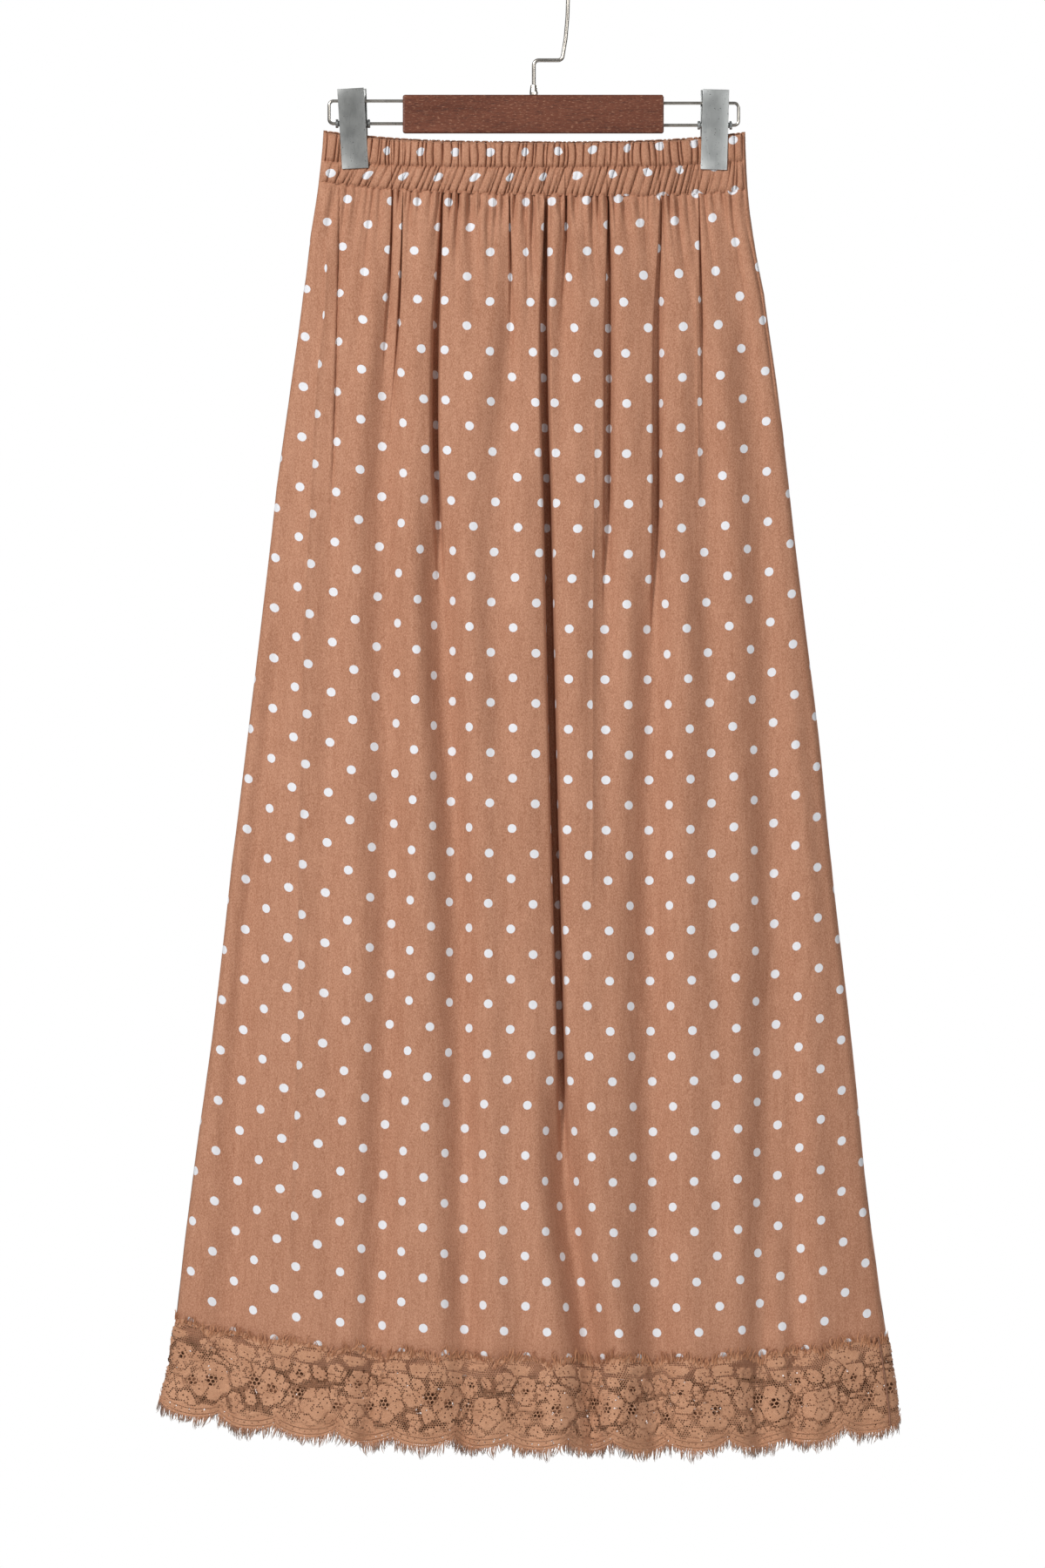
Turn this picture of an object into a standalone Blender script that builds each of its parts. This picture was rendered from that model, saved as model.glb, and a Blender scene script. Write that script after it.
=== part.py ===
"""Maxi skirt hanging from a clip hanger.

Metres, +Z up. The origin is the point where the crown of the hook bears on a rail. The front of
the skirt faces -Y and +X is to its right. Sizes in the tables are millimetres.
"""
import math
from collections import namedtuple

import bmesh
import bpy
from mathutils import Matrix, Vector

for leftover in list(bpy.data.objects):
    bpy.data.objects.remove(leftover)

# ---------------------------------------------------------------- driving dimensions, mm
MM = 0.001
SEAM_GAP = 0.3            # between two pieces that meet
FOOT_GAP = 0.4            # between a casing and the panel, whose curved edges have other points
CLOTH = 1.2               # wall of the two panels
CASING = 2.95             # casing with the elastics in it
LACE = 1.0                # wall of the lace
SIDE_ROUND = 5.0          # how far the cloth takes to turn round a side seam
SIDE_POINT = 0.24         # share of that turn at which the walls have one more column
FLAT_DEPTH = 3.3          # from the seam plane to the outside where the clips press the casing
ROUNDNESS = 0.7           # how fast the flattened tube fills out from its side seams
CLIP_REACH = (12.0, 52.0)       # to the side of a clip: pressed flat, and free again
PRESS_HEIGHTS = (-262.0, -162.0)  # heights where the cloth is free of the clips, and where pressed
CLIP_FLATTEN = 0.85       # share of a crinkle that a clip presses away

COLUMNS = 52              # panel columns between the side seams
GATHERS = 26              # short gathers under each casing, 4 fine columns each
CRINKLES = 52             # crinkles of each casing, 2 columns each
SCALLOPS = 13             # scallops of each lace border, 4 columns each

GATHER_RISE = 1.7         # height of a gather at the foot of the casing
GATHER_REACH = 46.0       # distance over which it dies away
FOLD_START = 26.0         # distance below the casing over which the folds begin
FOLD_FROM_SEAM = (2.0, 18.0)    # distances from a side seam between which they begin
CRINKLE_SLANT = 0.62      # lean of the lower channel's crinkles, in crinkle widths
SCALLOP_RISE = 5.4        # from the foot of a scallop to its notch
LASH_LENGTH = 8.4
LASH_ROOT = 1.5           # depth of the picot edge that the lashes grow from
LASH_WALL = 1.1
LASH_LEAN = 1.3           # how far a tip may lie to one side of its root

# Height of a line across the skirt at its left seam, its middle and its right seam.
Level = namedtuple("Level", "left middle right")
BAND_TOP = Level(-131.3, -139.3, -132.4)
BAND_STITCH = Level(-152.4, -157.5, -152.4)
BAND_FOOT = Level(-168.0, -178.4, -174.2)
CLOTH_HEM = Level(-1040.0, -1068.6, -1053.0)

# Rows of the panel and the lace, as shares of the way from the casing's foot to the cloth's hem.
FINE_ROWS = (0.0, 0.02, 0.045, 0.08, 0.12)
PLAIN_ROWS = (0.17, 0.24, 0.32, 0.41, 0.50, 0.59, 0.68, 0.77, 0.86, 0.93)
LACE_TOP = 0.971
LACE_MIDDLE = 1.025
LACE_FOOT = 1.0495

# The flattened tube: side seams, and how far the front and the back swell, by height.
Outline = namedtuple("Outline", "z left right front back")
OUTLINE = (
    Outline(-131.0, -157.0, 157.8, 9.0, 9.0),
    Outline(-175.0, -161.3, 159.7, 9.8, 9.4),
    Outline(-207.0, -166.5, 163.6, 12.0, 11.2),
    Outline(-252.0, -172.2, 172.0, 14.5, 13.2),
    Outline(-341.0, -184.0, 184.0, 18.5, 17.0),
    Outline(-396.0, -192.0, 190.5, 20.5, 19.0),
    Outline(-487.0, -202.3, 201.0, 23.5, 21.5),
    Outline(-585.0, -214.0, 213.0, 26.0, 24.0),
    Outline(-677.0, -225.5, 222.2, 28.5, 26.0),
    Outline(-806.0, -240.0, 236.8, 31.5, 28.5),
    Outline(-926.0, -256.2, 248.6, 34.5, 31.0),
    Outline(-1010.0, -265.9, 259.8, 36.5, 33.0),
    Outline(-1050.0, -271.5, 266.5, 37.5, 34.0),
    Outline(-1090.0, -280.5, 271.6, 38.5, 35.0),
    Outline(-1130.0, -284.0, 272.5, 39.0, 35.5),
)

# The long folds. x is the middle of the trough and d its depth at four heights.
FOLD_HEIGHTS = (-180.0, -410.0, -690.0, -1060.0)
Fold = namedtuple("Fold", "x_waist x_upper x_lower x_hem d_waist d_upper d_lower d_hem width")
FRONT_FOLDS = (
    Fold(-150, -185, -212, -229, 0.0, 1.0, 4.5, 4.0, 10.0),
    Fold(-142, -151, -146, -147, 2.0, 5.5, 3.0, 2.0, 7.0),
    Fold(-100, -111, -111, -120, 2.5, 8.0, 8.0, 7.0, 8.5),
    Fold(-68, -71, -58, -50, 3.0, 9.5, 10.0, 8.0, 8.0),
    Fold(-17, -26, -28, -10, 2.5, 5.0, 3.0, 3.0, 9.0),
    Fold(8, 10, 17, 42, 4.0, 12.5, 16.0, 13.0, 8.0),
    Fold(24, 19, 19, 19, 3.0, 0.5, 0.0, 0.0, 6.0),
    Fold(57, 55, 52, 52, 3.0, 7.0, 0.5, 0.0, 8.0),
    Fold(96, 93, 86, 86, 3.0, 7.0, 0.5, 0.0, 8.0),
    Fold(80, 78, 83, 94, 0.0, 1.5, 8.5, 8.0, 12.0),
    Fold(125, 131, 139, 139, 2.5, 3.5, 1.0, 0.0, 7.0),
    Fold(152, 170, 180, 177, 1.0, 5.0, 8.0, 6.0, 9.0),
)
BACK_FOLDS = (
    Fold(150, 172, 196, 214, 1.0, 3.0, 5.0, 5.0, 10.0),
    Fold(118, 122, 130, 140, 3.0, 7.0, 8.0, 6.0, 8.0),
    Fold(82, 78, 70, 66, 2.5, 6.0, 7.0, 7.0, 9.0),
    Fold(44, 40, 34, 22, 3.0, 9.0, 11.0, 8.0, 8.0),
    Fold(12, 6, -2, -16, 3.0, 6.0, 4.0, 3.0, 8.0),
    Fold(-30, -34, -44, -60, 3.5, 9.0, 12.0, 10.0, 8.0),
    Fold(-62, -68, -70, -70, 3.0, 5.0, 0.5, 0.0, 7.0),
    Fold(-94, -100, -108, -112, 2.5, 6.0, 8.0, 7.0, 9.0),
    Fold(-124, -134, -150, -160, 2.5, 6.0, 7.0, 6.0, 8.0),
    Fold(-148, -170, -194, -216, 1.0, 4.0, 5.0, 5.0, 10.0),
)
LIP = 0.22                # a fold's lips stand this share of its depth proud of the cloth
LIP_PLACE = 2.5           # and this many widths from its middle

# The clip hanger.
BAR_LEFT, BAR_RIGHT = -97.8, 97.0
BAR_TOP, BAR_FOOT = -103.35, -132.0
BAR_THICK = 12.0
BAR_EDGE = 1.6
RUNNER_RADIUS = 1.2       # the double wires that the clips slide on
RUNNER_BEND = 3.3
SOCKET_DEPTH = 12.0
Runner = namedtuple("Runner", "name bar_end far_end top foot")
RUNNERS = (
    Runner("wire_left", BAR_LEFT, -152.8, -107.9, -124.8),
    Runner("wire_right", BAR_RIGHT, 152.8, -109.5, -126.0),
)
HOOK_RADIUS = 1.45
HOOK_CROWN = 26.0         # centre line radius of the crown
JOG_Z, JOG_BEND = -77.5, 3.6
JOG_OUT = 21.6            # where the wire turns up again, right of the middle
RISER = ((23.7, -61.5), (25.1, -45.0))   # x and z of the slightly bowed stretch above the jog
FERRULE_HEIGHT = 7.0
FERRULE_FOOT, FERRULE_NECK = 3.1, 2.4

JAW_WIDTH, JAW_HEIGHT, JAW_METAL = 19.8, 59.8, 1.2
SLEEVE_RADIUS, COLLAR_RADIUS, COLLAR_LENGTH, SLEEVE_LENGTH = 2.1, 3.25, 2.0, 25.8
# Turns are degrees in the plane of the hanger; the back jaw sits a little to one side.
Clip = namedtuple("Clip", "side x z turn back_turn back_shift runner")
CLIPS = (
    Clip("left", -135.0, -128.6, 3.4, 1.6, 1.0, RUNNERS[0]),
    Clip("right", 135.1, -129.4, -1.5, -0.4, -0.8, RUNNERS[1]),
)
# A jaw from its foot up: the inside of its plate and the tips of its folded edges, from the middle.
JawSection = namedtuple("JawSection", "height plate edge")
JAW_SECTIONS = (
    JawSection(0.0, 4.30, 4.05),
    JawSection(1.6, 4.00, 3.75),
    JawSection(22.0, 4.30, 3.95),
    JawSection(26.5, 4.55, 4.15),
    JawSection(29.5, 4.75, 2.40),
    JawSection(38.0, 5.30, 2.40),
    JawSection(52.0, 6.30, 2.60),
    JawSection(59.8, 6.90, 5.20),
)

FRONT, BACK = -1.0, 1.0


# ---------------------------------------------------------------- small maths
def smooth(low, high, value):
    """0 below low, 1 above high, with soft ends."""
    share = min(max((value - low) / (high - low), 0.0), 1.0)
    return share * share * (3.0 - 2.0 * share)


def between(stations, values, at):
    """A soft curve through values given at falling stations."""
    if at >= stations[0]:
        return values[0]
    for index in range(len(stations) - 1):
        if at >= stations[index + 1]:
            share = (stations[index] - at) / (stations[index] - stations[index + 1])
            before = values[max(index - 1, 0)]
            start, end = values[index], values[index + 1]
            after = values[min(index + 2, len(values) - 1)]
            curve = (end - before) * share
            curve += (2.0 * before - 5.0 * start + 4.0 * end - after) * share ** 2
            curve += (3.0 * (start - end) + after - before) * share ** 3
            return start + 0.5 * curve
    return values[-1]


def outline(column, z):
    return between([row.z for row in OUTLINE], [getattr(row, column) for row in OUTLINE], z)


def level_between(start, end, share):
    return Level(*(a + (b - a) * share for a, b in zip(start, end)))


def level_height(level, u):
    """Height of a level at u, the share of the way from the left seam to the right one."""
    bow = 1.0 - abs(2.0 * u - 1.0) ** 3
    straight = level.left + (level.right - level.left) * u
    return straight + (level.middle - 0.5 * (level.left + level.right)) * bow


# ---------------------------------------------------------------- the form of the hanging cloth
def clip_press(x, z):
    """1 where a clip presses the casing flat, 0 where the cloth is free."""
    free = min(smooth(*CLIP_REACH, abs(x - clip.x)) for clip in CLIPS)
    return (1.0 - free) * smooth(*PRESS_HEIGHTS, z)


def swell(side, u, x, z):
    """How far the cloth stands from the seam plane before its folds."""
    depth = outline("front" if side == FRONT else "back", z)
    round_share = math.sin(math.pi * u) ** ROUNDNESS
    return FLAT_DEPTH + (depth - FLAT_DEPTH) * round_share * (1.0 - clip_press(x, z))


def fold_depth(side, x, z):
    """How far the long folds draw the cloth in."""
    total = 0.0
    for fold in FRONT_FOLDS if side == FRONT else BACK_FOLDS:
        middle = between(FOLD_HEIGHTS, fold[0:4], z)
        depth = between(FOLD_HEIGHTS, fold[4:8], z)
        offset = abs(x - middle) / fold.width
        total += depth * math.exp(-0.5 * offset ** 2)
        total -= depth * LIP * math.exp(-0.5 * (offset - LIP_PLACE) ** 2)
    return total


def cloth_point(side, u, level, lift=0.0):
    """A point of the cloth's outside at u on a level, with the side seams on one plane."""
    x_left = outline("left", level.left)
    x_right = outline("right", level.right)
    x = x_left + (x_right - x_left) * u
    z = level_height(level, u)
    from_seam = max(min(x - x_left, x_right - x), 0.0)
    below_casing = level_height(BAND_FOOT, u) - z
    folds = fold_depth(side, x, z) * smooth(0.0, FOLD_START, below_casing)
    folds *= smooth(*FOLD_FROM_SEAM, from_seam)
    turn = math.sqrt(1.0 - (1.0 - min(from_seam / SIDE_ROUND, 1.0)) ** 2)
    depth = (swell(side, u, x, z) - folds + lift) * turn
    return Vector((x, side * (0.5 * SEAM_GAP + depth), z))


def moved_off(side, u, level, distance):
    """The cloth's point moved square off its surface, outwards, in its own level."""
    step = 0.0004
    before = cloth_point(side, max(u - step, 0.0), level)
    after = cloth_point(side, min(u + step, 1.0), level)
    along = (after - before).xy.normalized()
    off = Vector((-along.y, along.x)) * side * distance
    point = cloth_point(side, u, level)
    if u in (0.0, 1.0):
        off = Vector((-distance if u == 0.0 else distance, 0.0))
    x, y = point.x + off.x, point.y + off.y
    return Vector((x, side * max(side * y, 0.5 * SEAM_GAP), point.z))


def plain_columns(level):
    """Shares of the width: even columns, with two more where the cloth turns at each seam."""
    width = outline("right", level.right) - outline("left", level.left)
    turn = [0.0, SIDE_POINT * SIDE_ROUND / width, SIDE_ROUND / width]
    even = [index / COLUMNS for index in range(1, COLUMNS)]
    return turn + even + [1.0 - share for share in reversed(turn)]


def fine_columns(level):
    """The plain columns with one more between each two."""
    plain = plain_columns(level)
    fine = [plain[0]]
    for before, after in zip(plain, plain[1:]):
        fine += [0.5 * (before + after), after]
    return fine


# ---------------------------------------------------------------- meshes
def material(name, color, roughness, metallic=0.0):
    finish = bpy.data.materials.new(name)
    finish.use_nodes = True
    shader = finish.node_tree.nodes["Principled BSDF"]
    shader.inputs["Base Color"].default_value = (*color, 1.0)
    shader.inputs["Roughness"].default_value = roughness
    shader.inputs["Metallic"].default_value = metallic
    return finish


def add_object(name, mesh, finish, soft_angle=None):
    """A mesh as a named object in the scene."""
    if soft_angle is not None:
        mesh.shade_smooth()
        mesh.set_sharp_from_angle(angle=math.radians(soft_angle))
    piece = bpy.data.objects.new(name, mesh)
    piece.data.materials.append(finish)
    bpy.context.scene.collection.objects.link(piece)
    return piece


def mesh_object(name, shape, finish, soft_angle=None):
    """A bmesh in millimetres as an object in metres."""
    bmesh.ops.scale(shape, vec=(MM, MM, MM), verts=shape.verts)
    bmesh.ops.recalc_face_normals(shape, faces=shape.faces)
    mesh = bpy.data.meshes.new(name)
    shape.to_mesh(mesh)
    shape.free()
    return add_object(name, mesh, finish, soft_angle)


def bridge(shape, first, second):
    """Triangles between two open rows that may have different numbers of points."""
    i = j = 0
    last_i, last_j = len(first) - 1, len(second) - 1
    while i < last_i or j < last_j:
        first_is_next = i < last_i and (i + 1) * last_j <= (j + 1) * last_i
        if j == last_j or first_is_next:
            shape.faces.new((first[i], first[i + 1], second[j]))
            i += 1
        else:
            shape.faces.new((first[i], second[j + 1], second[j]))
            j += 1


def cloth_wall(name, outer_rows, inner_rows, finish):
    """A closed wall of cloth from the rows of its outside and its inside."""
    shape = bmesh.new()
    outer = [[shape.verts.new(point) for point in row] for row in outer_rows]
    inner = [[shape.verts.new(point) for point in row] for row in inner_rows]
    for above, below in zip(outer, outer[1:]):
        bridge(shape, above, below)
    for above, below in zip(inner, inner[1:]):
        bridge(shape, above, below)
    for edge in (0, -1):
        bridge(shape, outer[edge], inner[edge])
        bridge(shape, [row[edge] for row in outer], [row[edge] for row in inner])
    return mesh_object(name, shape, finish, soft_angle=50)


# ---------------------------------------------------------------- skirt pieces
def casing_level(share):
    if share <= 0.5:
        return level_between(BAND_TOP, BAND_STITCH, share * 2.0)
    return level_between(BAND_STITCH, BAND_FOOT, share * 2.0 - 1.0)


# A casing's rows: how far down, how high its crinkles stand, and how far it is drawn in.
CasingRow = namedtuple("CasingRow", "share crinkle inset")
CASING_ROWS = (
    CasingRow(0.0, 0.35, 1.0),
    CasingRow(0.22, 0.9, 0.0),
    CasingRow(0.5, 0.25, 0.45),
    CasingRow(0.75, 0.95, 0.0),
    CasingRow(1.0, 0.3, 0.35),
)


def casing(name, side, finish):
    """The turned-down top of a panel: crinkled outside, plain inside."""
    outer, inner = [], []
    for row in CASING_ROWS:
        level = casing_level(row.share)
        x_left, x_right = outline("left", level.left), outline("right", level.right)
        lean = CRINKLE_SLANT * min(1.0, 2.0 - 2.0 * row.share) / CRINKLES
        crests = 2 * CRINKLES
        spread = []
        for index in range(crests + 1):
            u = index / crests
            u += lean * smooth(0.0, 0.05, u) * smooth(0.0, 0.05, 1.0 - u)
            point = cloth_point(side, u, level)
            open_share = 1.0 - CLIP_FLATTEN * clip_press(point.x, point.z)
            unevenness = 0.75 + 0.25 * math.sin(2.3 * index + 9.0 * row.share)
            raised = row.crinkle * unevenness * (index % 2) * open_share
            spread.append(cloth_point(side, u, level, raised - row.inset * open_share))
        outer.append(spread)
        plain = []
        for index in range(CRINKLES // 2 + 1):
            u = index / (CRINKLES // 2)
            point = cloth_point(side, u, level)
            x = min(max(point.x, x_left + CASING), x_right - CASING)
            depth = max(abs(point.y) - CASING - 0.5 * row.inset, 0.5 * SEAM_GAP)
            plain.append(Vector((x, side * depth, point.z)))
        inner.append(plain)
    return cloth_wall(name, outer, inner, finish)


def panel_level(share):
    """A level of the panel or, past 1, of the lace that hangs below it."""
    start = Level(*(height - FOOT_GAP for height in BAND_FOOT))
    return level_between(start, CLOTH_HEM, share)


def gather_lift(u, share):
    """Height of the short gathers, each of its own size, at one place of the panel."""
    wave = 0.5 + 0.5 * math.cos(2.0 * math.pi * GATHERS * u)
    number = round(u * GATHERS)
    size = 0.7 + 0.3 * math.sin(2.1 * number)
    reach = GATHER_REACH * (1.0 + 0.35 * math.sin(3.7 * number + 1.0))
    depth_below = share * (BAND_FOOT.middle - CLOTH_HEM.middle)
    return GATHER_RISE * size * wave * math.exp(-depth_below / reach)


def panel(name, side, finish):
    """One panel: fine columns where it is gathered, plain ones below."""
    outer, inner = [], []
    for share in FINE_ROWS:
        level = panel_level(share)
        outer.append([cloth_point(side, u, level, gather_lift(u, share)) for u in fine_columns(level)])
    for share in PLAIN_ROWS + (LACE_TOP, 1.0):
        level = panel_level(share)
        outer.append([cloth_point(side, u, level) for u in plain_columns(level)])
    for share in FINE_ROWS + PLAIN_ROWS + (LACE_TOP, 1.0):
        level = panel_level(share)
        inner.append([moved_off(side, u, level, -CLOTH) for u in plain_columns(level)])
    return cloth_wall(name, outer, inner, finish)


def scalloped_edge(u):
    """How far the lace's lower edge is cut up at u, in mm."""
    return SCALLOP_RISE * (1.0 - abs(math.sin(math.pi * SCALLOPS * u)))


def raised(point, height):
    return Vector((point.x, point.y, point.z + height))


def lace(name, side, finish):
    """The border: over the panel's points at the top, hanging free below, scalloped at its foot."""
    outer, inner = [], []
    for share in (LACE_TOP, 1.0, LACE_MIDDLE, LACE_FOOT):
        level = panel_level(share)
        scallop = 1.0 if share == LACE_FOOT else 0.0
        near, far = [], []
        for u in plain_columns(level):
            rise = scallop * scalloped_edge(u)
            near.append(raised(moved_off(side, u, level, SEAM_GAP), rise))
            far.append(raised(moved_off(side, u, level, SEAM_GAP + LACE), rise))
        inner.append(near)
        outer.append(far)
    return cloth_wall(name, outer, inner, finish)


def with_middles(row):
    """A row of points with the middle of each two put between them."""
    full = [row[0]]
    for before, after in zip(row, row[1:]):
        full += [(before + after) / 2.0, after]
    return full


def lashes(name, side, finish):
    """A picot edge just under the lace with one lock of lashes on each short length of it."""
    level = panel_level(LACE_FOOT)
    shape = bmesh.new()
    rows = []
    for off, drop in ((0.5 * LACE, 0.0), (LASH_WALL, LASH_ROOT), (0.0, LASH_ROOT)):
        row = []
        for u in plain_columns(level):
            point = moved_off(side, u, level, SEAM_GAP + off)
            row.append(raised(point, scalloped_edge(u) - SEAM_GAP - drop))
        rows.append([shape.verts.new(point) for point in with_middles(row)])
    ridge, out, back = rows
    bridge(shape, ridge, out)
    bridge(shape, ridge, back)
    for end in (0, -1):
        shape.faces.new((ridge[end], out[end], back[end]))
    for index in range(len(ridge) - 1):
        root = (out[index], out[index + 1], back[index + 1], back[index])
        middle = sum((corner.co for corner in root), Vector()) / 4.0
        length = LASH_LENGTH * (0.86 + 0.14 * math.sin(5.3 * index))
        lean = LASH_LEAN * math.sin(2.7 * index + 0.6)
        tip = shape.verts.new(middle + Vector((lean, 0.0, -length)))
        for start, end in zip(root, root[1:] + root[:1]):
            shape.faces.new((start, end, tip))
    return mesh_object(name, shape, finish)


# ---------------------------------------------------------------- hanger pieces
def tube(name, route, radius, finish, sides=8):
    """A round wire along points in the plane of the hanger."""
    shape = bmesh.new()
    rings = []
    for index, point in enumerate(route):
        before = route[max(index - 1, 0)]
        after = route[min(index + 1, len(route) - 1)]
        along = (after - before).normalized()
        across = Vector((-along.z, 0.0, along.x))
        ring = []
        for step in range(sides):
            angle = 2.0 * math.pi * (step + 0.5) / sides
            offset = across * math.cos(angle) + Vector((0.0, math.sin(angle), 0.0))
            ring.append(shape.verts.new(point + offset * radius))
        rings.append(ring)
    for ring, following in zip(rings, rings[1:]):
        for step in range(sides):
            side = (step + 1) % sides
            shape.faces.new((ring[step], ring[side], following[side], following[step]))
    shape.faces.new(rings[0])
    shape.faces.new(rings[-1])
    return mesh_object(name, shape, finish, soft_angle=50)


def arc(center_x, center_z, radius, start, end, steps):
    """Points of a round stretch; degrees from +X towards +Z."""
    points = []
    for index in range(steps + 1):
        angle = math.radians(start + (end - start) * index / steps)
        x, z = center_x + radius * math.cos(angle), center_z + radius * math.sin(angle)
        points.append(Vector((x, 0.0, z)))
    return points


def runner_wire(runner, finish):
    """Two parallel wires and the round end that joins them, let into the bar."""
    out = 1.0 if runner.far_end > 0.0 else -1.0
    root_x = runner.bar_end - out * (SOCKET_DEPTH - SEAM_GAP)
    bend_x = runner.far_end - out * RUNNER_BEND
    route = [Vector((root_x, 0.0, runner.top))]
    if out > 0.0:
        route += arc(bend_x, runner.top - RUNNER_BEND, RUNNER_BEND, 90, 0, 4)
        route += arc(bend_x, runner.foot + RUNNER_BEND, RUNNER_BEND, 0, -90, 4)
    else:
        route += arc(bend_x, runner.top - RUNNER_BEND, RUNNER_BEND, 90, 180, 4)
        route += arc(bend_x, runner.foot + RUNNER_BEND, RUNNER_BEND, 180, 270, 4)
    route.append(Vector((root_x, 0.0, runner.foot)))
    return tube(runner.name, route, RUNNER_RADIUS, finish)


def hook_route():
    """Up from the bar, a jog to the right, and over the crown."""
    route = [Vector((0.0, 0.0, BAR_TOP - SOCKET_DEPTH + SEAM_GAP))]
    route += arc(JOG_BEND, JOG_Z - JOG_BEND, JOG_BEND, 180, 90, 4)
    route += arc(JOG_OUT - JOG_BEND, JOG_Z + JOG_BEND, JOG_BEND, 270, 353, 4)
    route += [Vector((x, 0.0, z)) for x, z in RISER]
    route += arc(0.0, HOOK_RADIUS - HOOK_CROWN, HOOK_CROWN, -10, 196, 18)
    return route


def cutter(name, place, turn, radius, depth):
    """A hidden round cutter, axis along its own Z."""
    shape = bmesh.new()
    bmesh.ops.create_cone(shape, cap_ends=True, segments=10, radius1=radius, radius2=radius, depth=depth)
    bmesh.ops.transform(shape, matrix=turn, verts=shape.verts)
    bmesh.ops.translate(shape, vec=place, verts=shape.verts)
    tool = mesh_object(name, shape, material(name, (0.5, 0.5, 0.5), 0.5))
    tool.hide_render = True
    tool.display_type = "WIRE"
    return tool


def bar(finish):
    """The wooden bar with sockets for the hook and the four wire ends."""
    shape = bmesh.new()
    bmesh.ops.create_cube(shape, size=1.0)
    bmesh.ops.scale(shape, vec=(BAR_RIGHT - BAR_LEFT, BAR_THICK, BAR_TOP - BAR_FOOT), verts=shape.verts)
    middle = ((BAR_LEFT + BAR_RIGHT) / 2.0, 0.0, (BAR_TOP + BAR_FOOT) / 2.0)
    bmesh.ops.translate(shape, vec=middle, verts=shape.verts)
    bmesh.ops.bevel(
        shape, geom=list(shape.edges), offset=BAR_EDGE, segments=2, profile=0.5, affect="EDGES")
    body = mesh_object("hanger_bar", shape, finish, soft_angle=40)
    flat = Matrix.Rotation(math.radians(90.0), 4, "Y")
    bores = [("hook_socket", Vector((0.0, 0.0, BAR_TOP)), Matrix.Identity(4), HOOK_RADIUS)]
    for runner in RUNNERS:
        for label, height in (("top", runner.top), ("foot", runner.foot)):
            place = Vector((runner.bar_end, 0.0, height))
            bores.append((f"{runner.name}_{label}_socket", place, flat, RUNNER_RADIUS))
    for label, place, turn, radius in bores:
        # Ten flat sides lie closer to the axis than their corners, so the bore is a little wider.
        clear = (radius + SEAM_GAP) / math.cos(math.pi / 10.0)
        cut = body.modifiers.new(label, "BOOLEAN")
        cut.operation = "DIFFERENCE"
        cut.solver = "EXACT"
        cut.object = cutter(label, place, turn, clear, 2.0 * SOCKET_DEPTH)
    return body


def turned(name, profile, finish, sides=12):
    """A ring turned about X from a closed profile of (x, radius) points."""
    shape = bmesh.new()
    rings = []
    for step in range(sides):
        angle = 2.0 * math.pi * step / sides
        y, z = math.cos(angle), math.sin(angle)
        rings.append([shape.verts.new((x, radius * y, radius * z)) for x, radius in profile])
    for index, ring in enumerate(rings):
        following = rings[(index + 1) % sides]
        for corner in range(len(profile)):
            other = (corner + 1) % len(profile)
            shape.faces.new((ring[corner], ring[other], following[other], following[corner]))
    return mesh_object(name, shape, finish, soft_angle=40)


def ferrule(finish):
    """The small metal ferrule where the hook enters the bar."""
    bore = (HOOK_RADIUS + SEAM_GAP) / math.cos(math.pi / 12.0)
    shoulder = 0.3 * FERRULE_HEIGHT
    profile = (
        (0.0, bore), (0.0, FERRULE_FOOT), (shoulder, FERRULE_FOOT),
        (FERRULE_HEIGHT, FERRULE_NECK), (FERRULE_HEIGHT, bore))
    ring = turned("hook_ferrule", profile, finish)
    ring.rotation_euler = (0.0, math.radians(-90.0), 0.0)
    ring.location = Vector((0.0, 0.0, BAR_TOP + SEAM_GAP)) * MM
    return ring


def pivot_sleeve(clip, finish):
    """The sleeve that turns on the lower wire and carries the two jaws between its collars."""
    bore = (RUNNER_RADIUS + SEAM_GAP) / math.cos(math.pi / 12.0)
    end, neck = SLEEVE_LENGTH / 2.0, SLEEVE_LENGTH / 2.0 - COLLAR_LENGTH
    profile = (
        (-end, bore), (-end, COLLAR_RADIUS), (-neck, COLLAR_RADIUS), (-neck, SLEEVE_RADIUS),
        (neck, SLEEVE_RADIUS), (neck, COLLAR_RADIUS), (end, COLLAR_RADIUS), (end, bore))
    sleeve = turned(f"clip_{clip.side}_pivot", profile, finish)
    sleeve.location = Vector((clip.x, 0.0, clip.runner.foot)) * MM
    return sleeve


def jaw(clip, side, finish):
    """A pressed jaw: a plate whose long edges are folded in towards the pivot."""
    shape = bmesh.new()
    half = JAW_WIDTH / 2.0
    rows = []
    for section in JAW_SECTIONS:
        outside = section.plate + JAW_METAL
        corners = (
            (-half, outside), (half, outside), (half, section.edge), (half - JAW_METAL, section.edge),
            (half - JAW_METAL, section.plate), (JAW_METAL - half, section.plate),
            (JAW_METAL - half, section.edge), (-half, section.edge))
        height = section.height - JAW_HEIGHT / 2.0
        rows.append([shape.verts.new((x, side * y, height)) for x, y in corners])
    for below, above in zip(rows, rows[1:]):
        for corner in range(8):
            other = (corner + 1) % 8
            shape.faces.new((below[corner], below[other], above[other], above[corner]))
    for row in (rows[0], rows[-1]):
        shape.faces.new((row[0], row[5], row[6], row[7]))
        shape.faces.new((row[0], row[1], row[4], row[5]))
        shape.faces.new((row[1], row[2], row[3], row[4]))
    place = "front" if side == FRONT else "back"
    plate = mesh_object(f"clip_{clip.side}_{place}_jaw", shape, finish, soft_angle=30)
    shift, turn = (0.0, clip.turn) if side == FRONT else (clip.back_shift, clip.back_turn)
    plate.location = Vector((clip.x + shift, 0.0, clip.z)) * MM
    plate.rotation_euler = (0.0, math.radians(-turn), 0.0)
    return plate


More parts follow.
